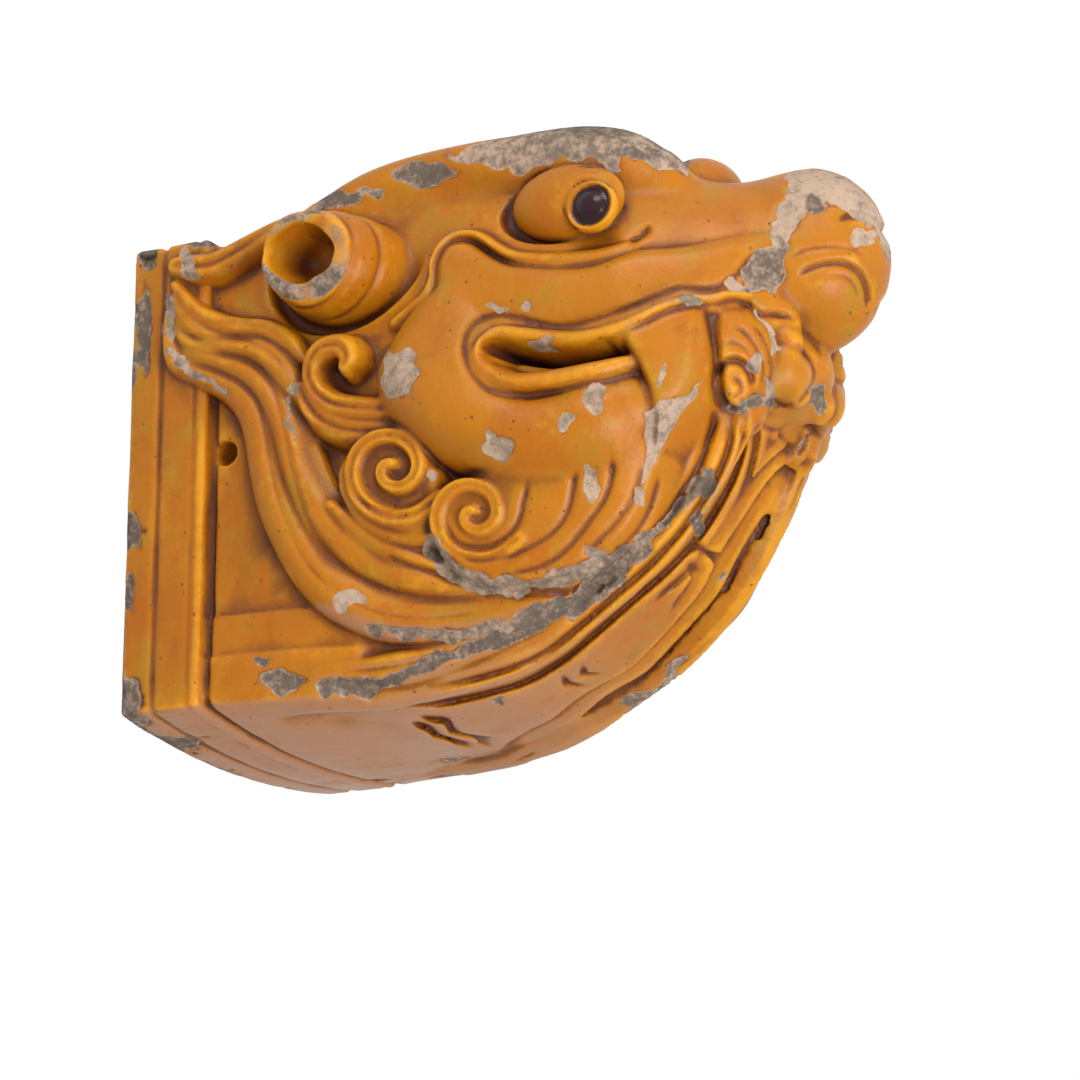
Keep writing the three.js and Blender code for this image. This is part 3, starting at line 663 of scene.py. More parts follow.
class Scoring:
    """Lines cut into the near side, drawn as the photograph shows them"""

    # How far from the surface a line reaches, in mm, and how squarely the surface must face the view
    REACH, FACING = 7, 0.05

    def __init__(self, clay, low, high):
        place = clay.window(low, high)
        self.part = clay.field[place]
        index = list(np.nonzero(np.abs(self.part) < self.REACH))
        points = np.stack([clay.axes[k][place[k]][index[k]] for k in range(3)], 1).astype(np.float64)
        slope = 0
        for k in range(3):
            ahead, behind = list(index), list(index)
            ahead[k] = np.minimum(index[k] + 1, self.part.shape[k] - 1)
            behind[k] = np.maximum(index[k] - 1, 0)
            slope = slope + VIEW_BACK[k] * (self.part[tuple(ahead)] - self.part[tuple(behind)])
        shown = slope > self.FACING
        self.index = tuple(i[shown] for i in index)
        self.places = seen(points[shown])

    def line(self, stops, width, depth, ends=0.12):
        """Cut a line of the given half width and depth, in millimetres, that fades out over its ends"""
        path = Path(stops)
        reach = width * PIXELS_PER_MM * 2.6
        low, high = path.rows[:, :2].min(0) - reach, path.rows[:, :2].max(0) + reach
        near = np.nonzero(np.all((self.places > low) & (self.places < high), axis=1))[0]
        if not len(near):
            return
        distance, _, share, _ = path.measure(self.places[near])
        fade = smooth_step(0, ends, share) * smooth_step(0, ends, 1 - share)
        cut = depth * np.exp(-(distance / (width * PIXELS_PER_MM)) ** 2) * (0.15 + 0.85 * fade)
        spot = tuple(i[near] for i in self.index)
        self.part[spot] += cut.astype(np.float32)


def ellipsoid(centre, radii):
    """A round form over x, y and z"""
    def shape(x, y, z):
        p = [(x - centre[0]) / radii[0], (y - centre[1]) / radii[1], (z - centre[2]) / radii[2]]
        near = np.sqrt(p[0] ** 2 + p[1] ** 2 + p[2] ** 2)
        slope = np.sqrt((p[0] / radii[0]) ** 2 + (p[1] / radii[1]) ** 2 + (p[2] / radii[2]) ** 2)
        return near * (near - 1) / np.maximum(slope, 1e-4)
    return shape


def roll(stops, squash=1.0):
    """A round roll through space. Each stop is x, y, z, radius. Squash widens it across the head"""
    path = Path([[x, y / squash, z, radius] for x, y, z, radius in stops], places=3, samples=6)

    def shape(x, y, z):
        gx, gy, gz = np.broadcast_arrays(x, y / squash, z)
        points = np.stack([gx.ravel(), gy.ravel(), gz.ravel()], 1)
        distance, _, _, sizes = path.measure(points)
        return (distance - sizes[:, 0]).reshape(gx.shape).astype(np.float32)
    shape.coarse = True
    return shape


def add_roll(clay, stops, soft, squash=1.0):
    """Join a roll on in a window that holds it"""
    rows = np.array(stops)
    reach = rows[:, 3].max() * squash + 6
    clay.add(rows[:, :3].min(0) - reach, rows[:, :3].max(0) + reach, roll(stops, squash), soft)


# The broken horn: foot and mouth of its middle line, the way that the break faces, and its radii
HORN_FOOT = np.array([114.0, -76.0, 216.0])
HORN_MOUTH = np.array([104.5, -120.0, 215.0])
HORN_BREAK = np.array([0.100, -0.982, -0.160])
HORN_FOOT_WIDE, HORN_FOOT_TALL, HORN_RIM = 33.0, 27.0, 21.5
HORN_BORE_WIDE, HORN_BORE_TALL, HORN_BORE_DEPTH = 18.0, 14.5, 27.0


def horn_frame(x, y, z):
    """Depth along the horn, places across it and up it, its length, and the height above the break"""
    line = HORN_MOUTH - HORN_FOOT
    length = np.linalg.norm(line)
    along = line / length
    across = np.array([1.0, 0.0, 0.0]) - along * along[0]
    across = across / np.linalg.norm(across)
    upward = np.cross(across, along)

    def reach(start, way):
        """How far the points lie from a start in one direction"""
        return (x - start[0]) * way[0] + (y - start[1]) * way[1] + (z - start[2]) * way[2]
    return (reach(HORN_FOOT, along), reach(HORN_FOOT, across), reach(HORN_FOOT, upward), length,
            reach(HORN_MOUTH, HORN_BREAK))


def horn_side(depth, wide, tall, length):
    """Distance from the horn's swelling side, and the turn round it"""
    share = np.clip(depth / length, -0.3, 1.2)
    swell = 2.5 * np.sin(np.clip(share, 0, 1) * np.pi)
    radius_wide = HORN_FOOT_WIDE + (HORN_RIM - HORN_FOOT_WIDE) * share + swell
    radius_tall = HORN_FOOT_TALL + (HORN_RIM - HORN_FOOT_TALL) * share + swell
    size = np.sqrt((wide / radius_wide) ** 2 + (tall / radius_tall) ** 2)
    return (size - 1) * np.minimum(radius_wide, radius_tall), np.arctan2(tall, wide)


def horn(x, y, z):
    """The broken horn, with two grooves round it and a ragged break"""
    depth, wide, tall, length, above = horn_frame(x, y, z)
    off, turn = horn_side(depth, wide, tall, length)
    grooves = sum(1.7 * np.exp(-((depth - share * length) / 1.5) ** 2) for share in (0.40, 0.72))
    rim = 1.5 * smooth_step(-4, 1, above)
    broken = -1.6 + 1.0 * np.sin(turn * 3 + 1) + 0.6 * np.sin(turn * 7)
    return smooth_max(off + grooves + rim, np.maximum(above - broken, -12 - depth), 1.5)


def horn_moat(x, y, z):
    """Groove round the foot of the horn"""
    depth, wide, tall, length, _ = horn_frame(x, y, z)
    off, _ = horn_side(depth, wide, tall, length)
    return np.sqrt((off - 3.5) ** 2 + (np.maximum(y + 86, 0) * 0.9) ** 2) - 3.0


def horn_bore(x, y, z):
    """The hollow inside the horn, which narrows inwards"""
    depth, wide, tall, length, _ = horn_frame(x, y, z)
    narrow = 1 - 0.3 * np.clip((length - depth) / HORN_BORE_DEPTH, 0, 1)
    size = np.sqrt((wide / HORN_BORE_WIDE) ** 2 + ((tall + 1.0) / HORN_BORE_TALL) ** 2)
    ragged = 0.05 * np.sin(np.arctan2(tall, wide) * 4 + 0.6)
    return smooth_max((size - narrow - ragged) * HORN_BORE_TALL, (length - HORN_BORE_DEPTH) - depth, 8)


def body_field(clay, flank):
    """Field of the head's own mass between flank, belly and crown"""
    x, y, z = clay.coordinates(np.s_[:, :, :])
    wall = flank.map
    slope_x, slope_z = np.gradient(wall, clay.pitch)
    steep = np.sqrt(1 + np.minimum(slope_x ** 2 + slope_z ** 2, 9))
    side = (-y - wall[:, None, :]) / steep[:, None, :]
    xs = clay.axes[0]
    low, high, sole, crown, bulge = (
        np.interp(xs, SECTIONS[:, 0], SECTIONS[:, k]) for k in (1, 2, 3, 5, 6))
    low, high = (soften(a.astype(np.float32), max(1, int(6 / clay.pitch))) for a in (low, high))
    ys = clay.axes[1]
    belly = low[:, None] - bulge[:, None] * (1 - np.minimum(1, (ys[None, :] / sole[:, None]) ** 2))
    # The middle of the belly lies back between its edge strips
    strip = smooth_step(0, 8, sole[:, None] - 12 - np.abs(ys[None, :]))
    strip = strip * smooth_step(60, 110, xs)[:, None]
    belly = belly + 4.5 * strip
    belly = belly + (5.5 * np.exp(-((xs - SEAM) / 2.0) ** 2))[:, None]
    fall = np.sqrt(1 + np.gradient(low, clay.pitch) ** 2)
    under = (belly[:, :, None] - z) / fall[:, None, None]
    top = high[:, None] + 3 * (1 - np.minimum(1, (ys[None, :] / crown[:, None]) ** 2))
    top = top + crown_hair(xs, ys)
    over = z - top[:, :, None]
    field = smooth_max(side, under.astype(np.float32), 5)
    field = smooth_max(field, over.astype(np.float32), 10)
    return smooth_max(field, np.maximum(BODY_BACK - x, x - BODY_FRONT), 8).astype(np.float32)


def crown_hair(xs, ys):
    """Shallow locks combed back over the crown, plainer than the flank"""
    gx, gy = xs[:, None], np.abs(ys[None, :])
    waves = 1.2 * np.cos(gy * 0.34 + 0.5 * np.sin(gx * 0.04))
    ridge = 4 * np.exp(-(gy / 9) ** 2) * smooth_step(60, 110, gx) * smooth_step(250, 226, gx)
    valley = -5 * np.exp(-(gy / 22) ** 2) * smooth_step(226, 248, gx) * smooth_step(296, 276, gx)
    combed = waves * smooth_step(56, 80, gx) * smooth_step(250, 220, gx)
    return (combed + ridge + valley).astype(np.float32)


def frame_band(x, y, z):
    """Square band round the opening, with a fillet groove on it"""
    inset = 1.8 * np.exp(-((x - 18) / 1.5) ** 2) + 1.2 * smooth_step(3, 0, x)
    inset = inset + 1.4 * smooth_step(BAND_END - 3, BAND_END, x)
    inset = inset + 0.9 * np.exp(-((x - 38) / 1.1) ** 2)
    half_width, height = 102 - inset, 2 * FRAME_MIDDLE - inset
    sill = 8 * (1 - np.minimum(1, (y / 99) ** 2))
    outside = smooth_max(-y - half_width, np.maximum(z - height, inset - sill - z), 3)
    return np.maximum(outside, np.maximum(-x, x - BAND_END))


def hollow(x, y, z):
    """The inside of the head, open at the back"""
    floor, roof, below, above = (
        np.interp(x.ravel(), HOLLOW[:, 0], HOLLOW[:, k])[:, None, None] for k in range(1, 5))
    half_width = below + (above - below) * np.clip((z - floor) / (roof - floor), 0, 1)
    across = smooth_max(-y - half_width, np.maximum(floor - z, z - roof), 8)
    return np.maximum(across, x - HOLLOW_END)


def nail_hole(x, y, z):
    """Round hole, punched a little askew, that narrows inwards"""
    inward = smooth_step(93, 83, -y)
    off = np.sqrt((x - NAIL_X - 1.8 * inward) ** 2 + (z - NAIL_Z + 1.2 * inward) ** 2)
    return off - NAIL_RADIUS + inward


def model_clay(pitch):
    """Build up the near half of the head"""
    clay = Clay(pitch)
    flank = Flank(clay.axes[0], clay.axes[2])
    carve_flank(flank)
    clay.field = body_field(clay, flank)
    model_snout(clay)
    model_brow_and_horn(clay)
    model_eye(clay)
    # Rims of the throat
    add_roll(clay, THROAT_RIM, 2.5)
    score_lines(clay)
    # Frame, hollow and nail hole
    clay.add([-4, -106, -12], [46, 0, 244], frame_band, 0.8)
    clay.cut([-4, -90, 10], [242, 0, 244], hollow, 1.5)
    clay.cut([44, -120, 120], [62, -70, 136], nail_hole, 0.8)
    clay.field = soften_once(clay.field)
    return clay


def model_snout(clay):
    """Bridge, ball of the nose, tongue, arch of the upper lip and tuft of the chin"""
    add_roll(clay, [[256, 0, 238, 14], [278, 0, 240, 16], [300, 0, 239, 19.5],
                    [320, 0, 232, 21]], 10, squash=1.5)
    clay.add([238, -32, 226], [294, 0, 282], ellipsoid((266, 0, 255), (22, 25, 22.5)), 5)
    add_roll(clay, [[262, -34, 214, 24], [290, -24, 214, 24], [318, -12, 212, 24]], 12)
    clay.add([276, -48, 160], [369, 0, 268], ellipsoid((322, 0, 215), (40.5, 34, 47)), 8)
    clay.add([290, -48, 168], [362, -6, 226], ellipsoid((322, -16, 199), (26, 17, 20)), 5)
    clay.add([302, -44, 128], [340, 0, 174], ellipsoid((318, -19, 151), (12, 17, 15)), 1.5)
    add_roll(clay, [[286, 0, 148, 18], [308, 0, 154, 19], [318, 0, 160, 14]], 4, squash=1.5)
    add_roll(clay, [[292, -34, 192, 7], [310, -30, 188, 8], [320, -27, 172, 8], [318, -29, 152, 8],
                    [306, -32, 138, 7]], 2.5)
    clay.add([288, -46, 118], [316, -20, 146], ellipsoid((300, -33, 132), (11, 11, 12)), 3)


def model_brow_and_horn(clay):
    """Brow with the locks behind it, and the horn in its groove"""
    add_roll(clay, [
        [94, -78, 250, 8], [122, -68, 262, 12], [152, -60, 266, 15], [186, -58, 265.5, 16.5],
        [226, -54, 263.5, 18.5], [246, -48, 261, 17.5], [260, -41, 256, 14],
    ], 8, squash=1.12)
    clay.cut([66, -134, 168], [164, -40, 256], horn_moat, 3)
    clay.add([68, -134, 172], [160, -40, 252], horn, 1.5)
    clay.cut([72, -134, 180], [144, -84, 242], horn_bore, 1.0)


def model_eye(clay):
    """Socket with an upright wall, eyeball, ring round the pupil and domed pupil"""
    clay.cut([176, -116, 204], [264, -62, 262], socket(SOCKET_MIDDLE, SOCKET_RADII, SOCKET_FLOOR), 1.2)
    clay.add([176, -100, 206], [268, -30, 262], ellipsoid(BALL_MIDDLE, BALL_RADII), 0.3)
    clay.add(*PUPIL_BOX, ring_round((PUPIL_X, -81.4, PUPIL_Z), 11.6, 1.8), 0.8)
    clay.cut(*PUPIL_BOX, ring_round((PUPIL_X, -82.0, PUPIL_Z), 14.6, 0.8), 0.6)
    clay.add(*PUPIL_BOX, ellipsoid((PUPIL_X, -79.5, PUPIL_Z), (9.8, 8.0, 9.8)), 0.3)


def score_lines(clay):
    """Lines drawn over the relief"""
    for low, high, lines in (
            ([-4, -134, -13], [330, -30, 288], FLANK_LINES),
            ([60, -100, -13], [369, 1, 200], THROAT_LINES + BELLY_LINES),
            ([270, -60, 150], [369, 1, 268], NOSE_LINES),
    ):
        scoring = Scoring(clay, low, high)
        for width, depth, stops in lines:
            scoring.line(stops, width, depth)


def soften_once(field):
    """Take the voxel steps off steep walls"""
    for axis in range(3):
        behind = np.take(field, [0], axis), np.take(field, np.arange(field.shape[axis] - 1), axis)
        ahead = np.take(field, np.arange(1, field.shape[axis]), axis), np.take(field, [-1], axis)
        field = 0.5 * field + 0.25 * np.concatenate(behind, axis) + 0.25 * np.concatenate(ahead, axis)
    return field


def socket(centre, radii, floor):
    """An upright oval hole down to a floor, over x and z"""
    def shape(x, y, z):
        size = np.sqrt(((x - centre[0]) / radii[0]) ** 2 + ((z - centre[1]) / radii[1]) ** 2)
        return smooth_max((size - 1) * min(radii), y - floor, 6)
    return shape


def ring_round(centre, radius, thick):
    """A ring over x and z, thicker in y"""
    def shape(x, y, z):
        off = np.sqrt((x - centre[0]) ** 2 + (z - centre[2]) ** 2)
        return np.sqrt((off - radius) ** 2 + ((y - centre[1]) * 0.45) ** 2) - thick
    return shape


def clay_mesh(clay, name):
    """Mirror the near half and turn the field into a closed mesh, in metres"""
    half = clay.field
    whole = np.concatenate([half, half[:, -2::-1, :]], axis=1)
    bound = 3 * clay.pitch
    grid = openvdb.FloatGrid(bound)
    grid.copyFromArray(np.clip(whole, -bound, bound).astype(np.float32))
    points, _, quads = grid.convertToPolygons(isovalue=0.0, adaptivity=0.0)
    points = points * clay.pitch + np.array([clay.axes[0][0], clay.axes[1][0], clay.axes[2][0]])
    points[:, 2] -= FRAME_MIDDLE
    mesh = bpy.data.meshes.new(name)
    mesh.vertices.add(len(points))
    mesh.vertices.foreach_set("co", (points * MILLIMETRE).astype(np.float32).ravel())
    mesh.loops.add(quads.size)
    mesh.loops.foreach_set("vertex_index", quads.astype(np.int32).ravel())
    mesh.polygons.add(len(quads))
    mesh.polygons.foreach_set("loop_start", np.arange(0, quads.size, 4, dtype=np.int32))
    mesh.update(calc_edges=True)
    mesh.validate()
    piece = bpy.data.objects.new(name, mesh)
    bpy.context.scene.collection.objects.link(piece)
    return piece


# Wear on the near side, as the photograph shows it. Patches: middle across and down, half width and height,
# depth in mm
CLAY_PATCHES = [
    (398, 374, 17, 23, 0.9), (410, 356, 9, 6, 0.5), (593, 399, 13, 14, 0.8), (497, 450, 13, 11, 0.7),
    (563, 421, 8, 7, 0.4), (490, 437, 7, 5, 0.4), (541, 343, 14, 7, 0.8), (690, 298, 12, 5, 0.5),
    (733, 287, 10, 8, 0.8), (664, 375, 4, 12, 0.4), (350, 600, 14, 9, 0.6), (187, 264, 9, 13, 0.6),
    (292, 392, 5, 7, 0.5), (430, 479, 8, 6, 0.5), (168, 318, 5, 22, 0.5),
    (862, 236, 15, 9, 0.6), (590, 488, 9, 18, 0.5), (640, 495, 6, 10, 0.4), (757, 366, 6, 9, 0.4),
    (770, 385, 4, 12, 0.3), (598, 555, 12, 10, 0.6), (500, 306, 9, 4, 0.4), (528, 303, 7, 5, 0.4),
]
DIRT_PATCHES = [
    (146, 257, 12, 12, 4.0),
    (283, 681, 22, 12, 1.4), (357, 690, 18, 11, 1.4), (142, 330, 8, 42, 1.2), (133, 530, 9, 18, 1.4),
    (130, 592, 8, 18, 1.4), (131, 700, 12, 24, 1.4), (165, 745, 34, 9, 1.2), (205, 243, 30, 6, 0.8),
    (757, 403, 16, 7, 1.0), (740, 411, 10, 6, 0.8), (812, 450, 13, 14, 1.6), (818, 400, 9, 14, 0.8),
    (708, 481, 9, 15, 1.0), (730, 590, 9, 17, 1.2), (714, 614, 9, 13, 1.2), (340, 200, 22, 9, 0.9),
    (425, 174, 28, 12, 0.9), (600, 128, 40, 9, 0.8), (640, 150, 30, 8, 0.7),
    (812, 206, 10, 8, 0.6), (500, 700, 8, 4, 0.6), (524, 760, 10, 9, 0.8), (670, 670, 12, 6, 0.8),
    (260, 660, 8, 5, 0.8), (700, 520, 6, 12, 0.5),
]
# Worn areas by their outline, with depth in mm and share of dirt
WORN_OUTLINES = [
    ([[440, 158], [470, 146], [509, 130], [550, 120], [599, 118], [640, 124], [676, 140], [692, 158],
      [684, 176], [664, 168], [634, 156], [620, 160], [610, 168], [591, 161], [556, 160], [534, 168],
      [518, 177], [500, 166], [470, 160]], 0.8, 0.55),
    ([[790, 168], [830, 172], [866, 194], [892, 224], [900, 256], [888, 256], [874, 226], [850, 214],
      [838, 203], [812, 204], [800, 226], [782, 242], [768, 244], [774, 218], [786, 192]], 0.8, 0.12),
    ([[640, 408], [672, 402], [692, 392], [700, 380], [698, 398], [680, 420], [662, 446], [650, 468],
      [641, 480], [643, 440]], 0.8, 0.25),
    ([[744, 268], [756, 252], [772, 243], [786, 240], [783, 262], [782, 286], [772, 294], [754, 290],
      [740, 288]], 1.1, 0.9),
    ([[560, 614], [574, 590], [590, 570], [612, 554], [642, 543], [652, 554], [622, 580], [602, 602],
      [572, 620]], 1.6, 0.9),
]
# Worn edges by the line along them, with half width in pixels, depth in mm and share of dirt
WORN_EDGES = [
    ([[432, 545], [446, 568], [473, 583], [508, 586], [537, 583], [569, 575],
      [600, 560]], 9, 0.9, 0.35),
    ([[559, 608], [514, 634], [451, 656], [403, 675], [371, 685], [323, 686]], 8, 1.0, 1.0),
    ([[372, 628], [419, 636], [467, 634], [508, 622], [540, 610]], 5, 0.6, 0.7),
    ([[168, 352], [184, 372], [206, 382], [228, 392]], 4, 0.4, 0.3),
    ([[284, 402], [287, 420], [298, 438]], 2, 0.3, 0.2),
    ([[756, 312], [770, 330], [776, 348]], 2.5, 0.3, 0.3),
    ([[640, 545], [670, 520], [700, 480]], 5, 0.6, 0.8),
    ([[760, 640], [730, 640], [690, 665], [640, 690], [590, 715]], 5, 0.6, 0.8),
    ([[138, 725], [180, 756], [219, 775], [272, 792], [318, 798]], 6, 0.8, 0.6),
    ([[286, 226], [330, 205], [380, 190]], 4, 0.4, 0.8),
]


# Where the far side and the crown begin, in mm, and the noise that makes the wear ragged, as size of its
# lumps in mm, seed and reach in pixels
FAR_SIDE, CROWN_LEVEL = 25, 262
RAGGEDNESS = ((7.0, 11, 13), (2.5, 21, 4))
# How far from the surface the field is read for its marks, and the sizes of the two blurs, in mm
MARK_REACH, MARK_BLURS = 4.0, (1.7, 4.4)


def near_path(path, places, margin):
    """Which places lie near a path, and how far from it"""
    low, high = path.rows.min(0) - margin, path.rows.max(0) + margin
    close = np.nonzero(np.all((places > low) & (places < high), axis=1))[0]
    return close, path.measure(places[close])[0]


def wear_of(points, facing):
    """How far each point is chipped to clay, how dirty it is, and how deep the chip goes"""
    count = len(points)
    chip, grime, depth = np.zeros(count), np.zeros(count), np.zeros(count)
    near = np.nonzero((points[:, 1] < FAR_SIDE) & (facing > 0.02))[0]
    where = points[near]
    ragged = seen(where)
    for k in range(2):
        for lumps, seed, pixels in RAGGEDNESS:
            ragged[:, k] += (value_noise(where, lumps, seed + k) - 0.5) * pixels

    def mark(cover, dirt, deep):
        """Add one place of wear to the near side"""
        chip[near] = np.maximum(chip[near], cover)
        grime[near] = np.maximum(grime[near], cover * dirt)
        depth[near] = np.maximum(depth[near], cover * deep)

    for patches, dirt in ((CLAY_PATCHES, 0.15), (DIRT_PATCHES, 1.0)):
        for across, down, wide, tall, deep in patches:
            off = np.hypot((ragged[:, 0] - across) / wide, (ragged[:, 1] - down) / tall)
            mark(smooth_step(1.3, 0.75, off), dirt, deep)
    for outline, deep, dirt in WORN_OUTLINES:
        path = Path(outline + outline[:1], samples=3)
        close, off = near_path(path, ragged, 5)
        cover = np.zeros(len(near))
        cover[close] = smooth_step(-3, 3, np.where(inside(path.rows, ragged[close]), off, -off))
        mark(cover, dirt, deep)
    for stops, wide, deep, dirt in WORN_EDGES:
        close, off = near_path(Path(stops), ragged, wide * 2)
        cover = np.zeros(len(near))
        cover[close] = smooth_step(1.25, 0.75, off / wide)
        mark(cover, dirt, deep)
    # The far side and the crown are worn in their own places
    far = np.nonzero((points[:, 1] >= FAR_SIDE) | (points[:, 2] > CROWN_LEVEL))[0]
    spots = value_noise(points[far], 26.0, 5) * 0.65 + value_noise(points[far], 9.0, 6) * 0.35
    cover = smooth_step(0.70, 0.76, spots)
    chip[far] = np.maximum(chip[far], cover)
    grime[far] = np.maximum(grime[far], cover * 0.7)
    depth[far] = np.maximum(depth[far], cover * 0.8)
    # Rim of the horns and the back edge of the frame
    _, wide, tall, _, above = horn_frame(points[:, 0], -np.abs(points[:, 1]), points[:, 2])
    rim = smooth_step(-4.5, -2.0, above) * (np.hypot(wide, tall) < HORN_RIM + 6)
    low = smooth_step(-4, 10, tall - wide * 0.4)
    chip = np.maximum(chip, rim * (0.25 + 0.35 * low + 0.35 * value_noise(points, 7.0, 9)))
    grime = np.maximum(grime, rim * (0.1 + 0.75 * low))
    edge = smooth_step(7, 2, points[:, 0]) * smooth_step(0.42, 0.62, value_noise(points, 14.0, 8))
    chip = np.maximum(chip, edge)
    grime = np.maximum(grime, edge * 0.8)
    return chip, grime, depth


def read_mesh(mesh):
    """Places in metres and normals of a mesh's vertices"""
    points, normals = (np.empty(len(mesh.vertices) * 3, dtype=np.float32) for _ in range(2))
    mesh.vertices.foreach_get("co", points)
    mesh.vertex_normals.foreach_get("vector", normals)
    return points.reshape(-1, 3).astype(np.float64), normals.reshape(-1, 3)


def from_underside(points):
    """Places in metres turned into millimetres from the underside of the frame"""
    places = points / MILLIMETRE
    places[:, 2] += FRAME_MIDDLE
    return places


def hollows_and_ridges(clay, places):
    """How much glaze pools at each place, and how far it stands out"""
    clipped = np.clip(clay.field, -MARK_REACH, MARK_REACH)
    near_side = np.stack([places[:, 0], -np.abs(places[:, 1]), places[:, 2]], 1)
    tight, wide = (
        clay.sample(soften(clipped, max(1, round(blur / clay.pitch))), near_side) for blur in MARK_BLURS)
    pool = np.clip(-tight / 0.75, 0, 1) * 0.85 + np.clip(-wide / 2.2 - 0.25, 0, 1) * 0.2
    ridge = np.clip(tight / 0.5, 0, 1) * 0.6 + np.clip(wide / 1.5, 0, 1) * 0.5
    return pool, ridge


def surface_marks(piece, clay):
    """Write on each vertex what the glaze needs to know about its place"""
    mesh = piece.data
    points, normals = read_mesh(mesh)
    places = from_underside(points)
    pool, ridge = hollows_and_ridges(clay, places)
    chip, grime, _ = wear_of(places, normals @ VIEW_BACK)
    x, y, z = places[:, 0], np.abs(places[:, 1]), places[:, 2]
    # Pooled glaze and painted shade darken the gap between the eyeball and its socket, where the brow's
    # shadow falls
    gap = np.hypot((x - SOCKET_MIDDLE[0]) / SOCKET_RADII[0], (z - SOCKET_MIDDLE[1]) / SOCKET_RADII[1])
    off_ball = np.sqrt(
        ((x - BALL_MIDDLE[0]) / BALL_RADII[0]) ** 2 + ((y + BALL_MIDDLE[1]) / BALL_RADII[1]) ** 2
        + ((z - BALL_MIDDLE[2]) / BALL_RADII[2]) ** 2)
    socket_pool_and_shade = smooth_step(1.06, 0.98, gap) * smooth_step(1.03, 1.08, off_ball) * (y > 62) * (y < 84)
    floor, roof, below = (np.interp(x, HOLLOW[:, 0], HOLLOW[:, k]) for k in (1, 2, 3))
    in_hollow = (x < HOLLOW_END + 1.5) & (y < below + 1.5) & (z > floor - 1.5) & (z < roof + 1.5)
    marks = {
        # The pool mark also carries the painted shade in the eye socket's gap
        "pool": np.maximum(pool, socket_pool_and_shade * 1.1),
        "ridge": ridge,
        "chip": chip,
        "grime": grime,
        "pupil": smooth_step(10.4, 9.4, np.hypot(x - PUPIL_X, z - PUPIL_Z)) * ((y > 80) & (y < 92)),
        "unglazed": in_hollow | (x < 0.4),
        # Painted reflection: faces turned down under the throat and belly are marked for a pinkish paler
        # glaze that stands in for the floor's reflection
        "thin": smooth_step(-0.2, -0.6, normals[:, 2]) * smooth_step(250, 130, x) * (z < 45),
    }
    for name, values in marks.items():
        layer = mesh.attributes.new(name, "FLOAT", "POINT")
        layer.data.foreach_set("value", np.asarray(values, dtype=np.float32))


def chip_surface(piece):
    """Sink the chipped places a little and roughen them, and leave the whole surface slightly uneven"""
    mesh = piece.data
    points, normals = read_mesh(mesh)
    places = from_underside(points)
    _, _, depth = wear_of(places, normals @ VIEW_BACK)
    sink = depth * (0.55 + 0.9 * value_noise(places, 3.2, 31)) + 0.5 * value_noise(places, 16.0, 32)
    points -= normals * (sink * MILLIMETRE)[:, None]
    mesh.vertices.foreach_set("co", points.astype(np.float32).ravel())
    mesh.update()


class BeastSizes(bpy.types.PropertyGroup):
    """Sizes of the glazed head"""
    pitch: bpy.props.FloatProperty(
        name="Voxel", description="Edge of a voxel of clay while the head is modelled", default=0.0011,
        unit="LENGTH", precision=4)
    triangles: bpy.props.IntProperty(
        name="Triangles", description="Most triangles that the finished head keeps", default=190000)


class BeastColours(bpy.types.PropertyGroup):
    """Colours of glaze and clay"""
    glaze: bpy.props.FloatVectorProperty(
        name="Glaze", description="Amber glaze where it lies evenly",
        subtype="COLOR", default=(0.355, 0.12, 0.0025))
    glaze_warm: bpy.props.FloatVectorProperty(
        name="Warm glaze", description="Redder glaze in its clouds",
        subtype="COLOR", default=(0.315, 0.088, 0.0025))
    glaze_thin: bpy.props.FloatVectorProperty(
        name="Thin glaze", description="Yellow glaze on the high places",
        subtype="COLOR", default=(0.49, 0.20, 0.006))
    glaze_brown: bpy.props.FloatVectorProperty(
        name="Brown glaze", description="Glaze thickened beside the cuts",
        subtype="COLOR", default=(0.19, 0.055, 0.004))
    # Pooled glaze in the cuts, and also the painted shade in the eye socket's gap
    glaze_pooled: bpy.props.FloatVectorProperty(
        name="Pooled glaze", description="Dark glaze gathered in the cuts",
        subtype="COLOR", default=(0.07, 0.019, 0.009))
    # Painted reflection: a pinkish paler colour for the underside, standing in for the pale floor's
    # reflection in the glaze
    painted_reflection_colour: bpy.props.FloatVectorProperty(
        name="Reflected glaze", description="Dull pinkish glaze under the throat",
        subtype="COLOR", default=(0.33, 0.15, 0.07))
    clay: bpy.props.FloatVectorProperty(
        name="Bare clay", description="Fired clay where the glaze is gone",
        subtype="COLOR", default=(0.37, 0.26, 0.185))
    clay_grey: bpy.props.FloatVectorProperty(
        name="Grey clay", description="Clay that has weathered grey",
        subtype="COLOR", default=(0.19, 0.138, 0.100))
    dirt: bpy.props.FloatVectorProperty(
        name="Dirt", description="Dark weathering on the clay",
        subtype="COLOR", default=(0.10, 0.074, 0.056))
    moss: bpy.props.FloatVectorProperty(
        name="Moss", description="Green traces in the dirt",
        subtype="COLOR", default=(0.105, 0.1, 0.06))
    glaze_olive: bpy.props.FloatVectorProperty(
        name="Olive glaze", description="Greenish clouds in the glaze",
        subtype="COLOR", default=(0.30, 0.132, 0.005))
    pupil: bpy.props.FloatVectorProperty(
        name="Pupil", description="Dark brown glaze of the pupils",
        subtype="COLOR", default=(0.02, 0.007, 0.009))


def clear_selection():
    """Deselect all objects"""
    for other in bpy.context.selected_objects:
        other.select_set(False)


def make_active(piece):
    """Select one object alone"""
    clear_selection()
    piece.select_set(True)
    bpy.context.view_layer.objects.active = piece


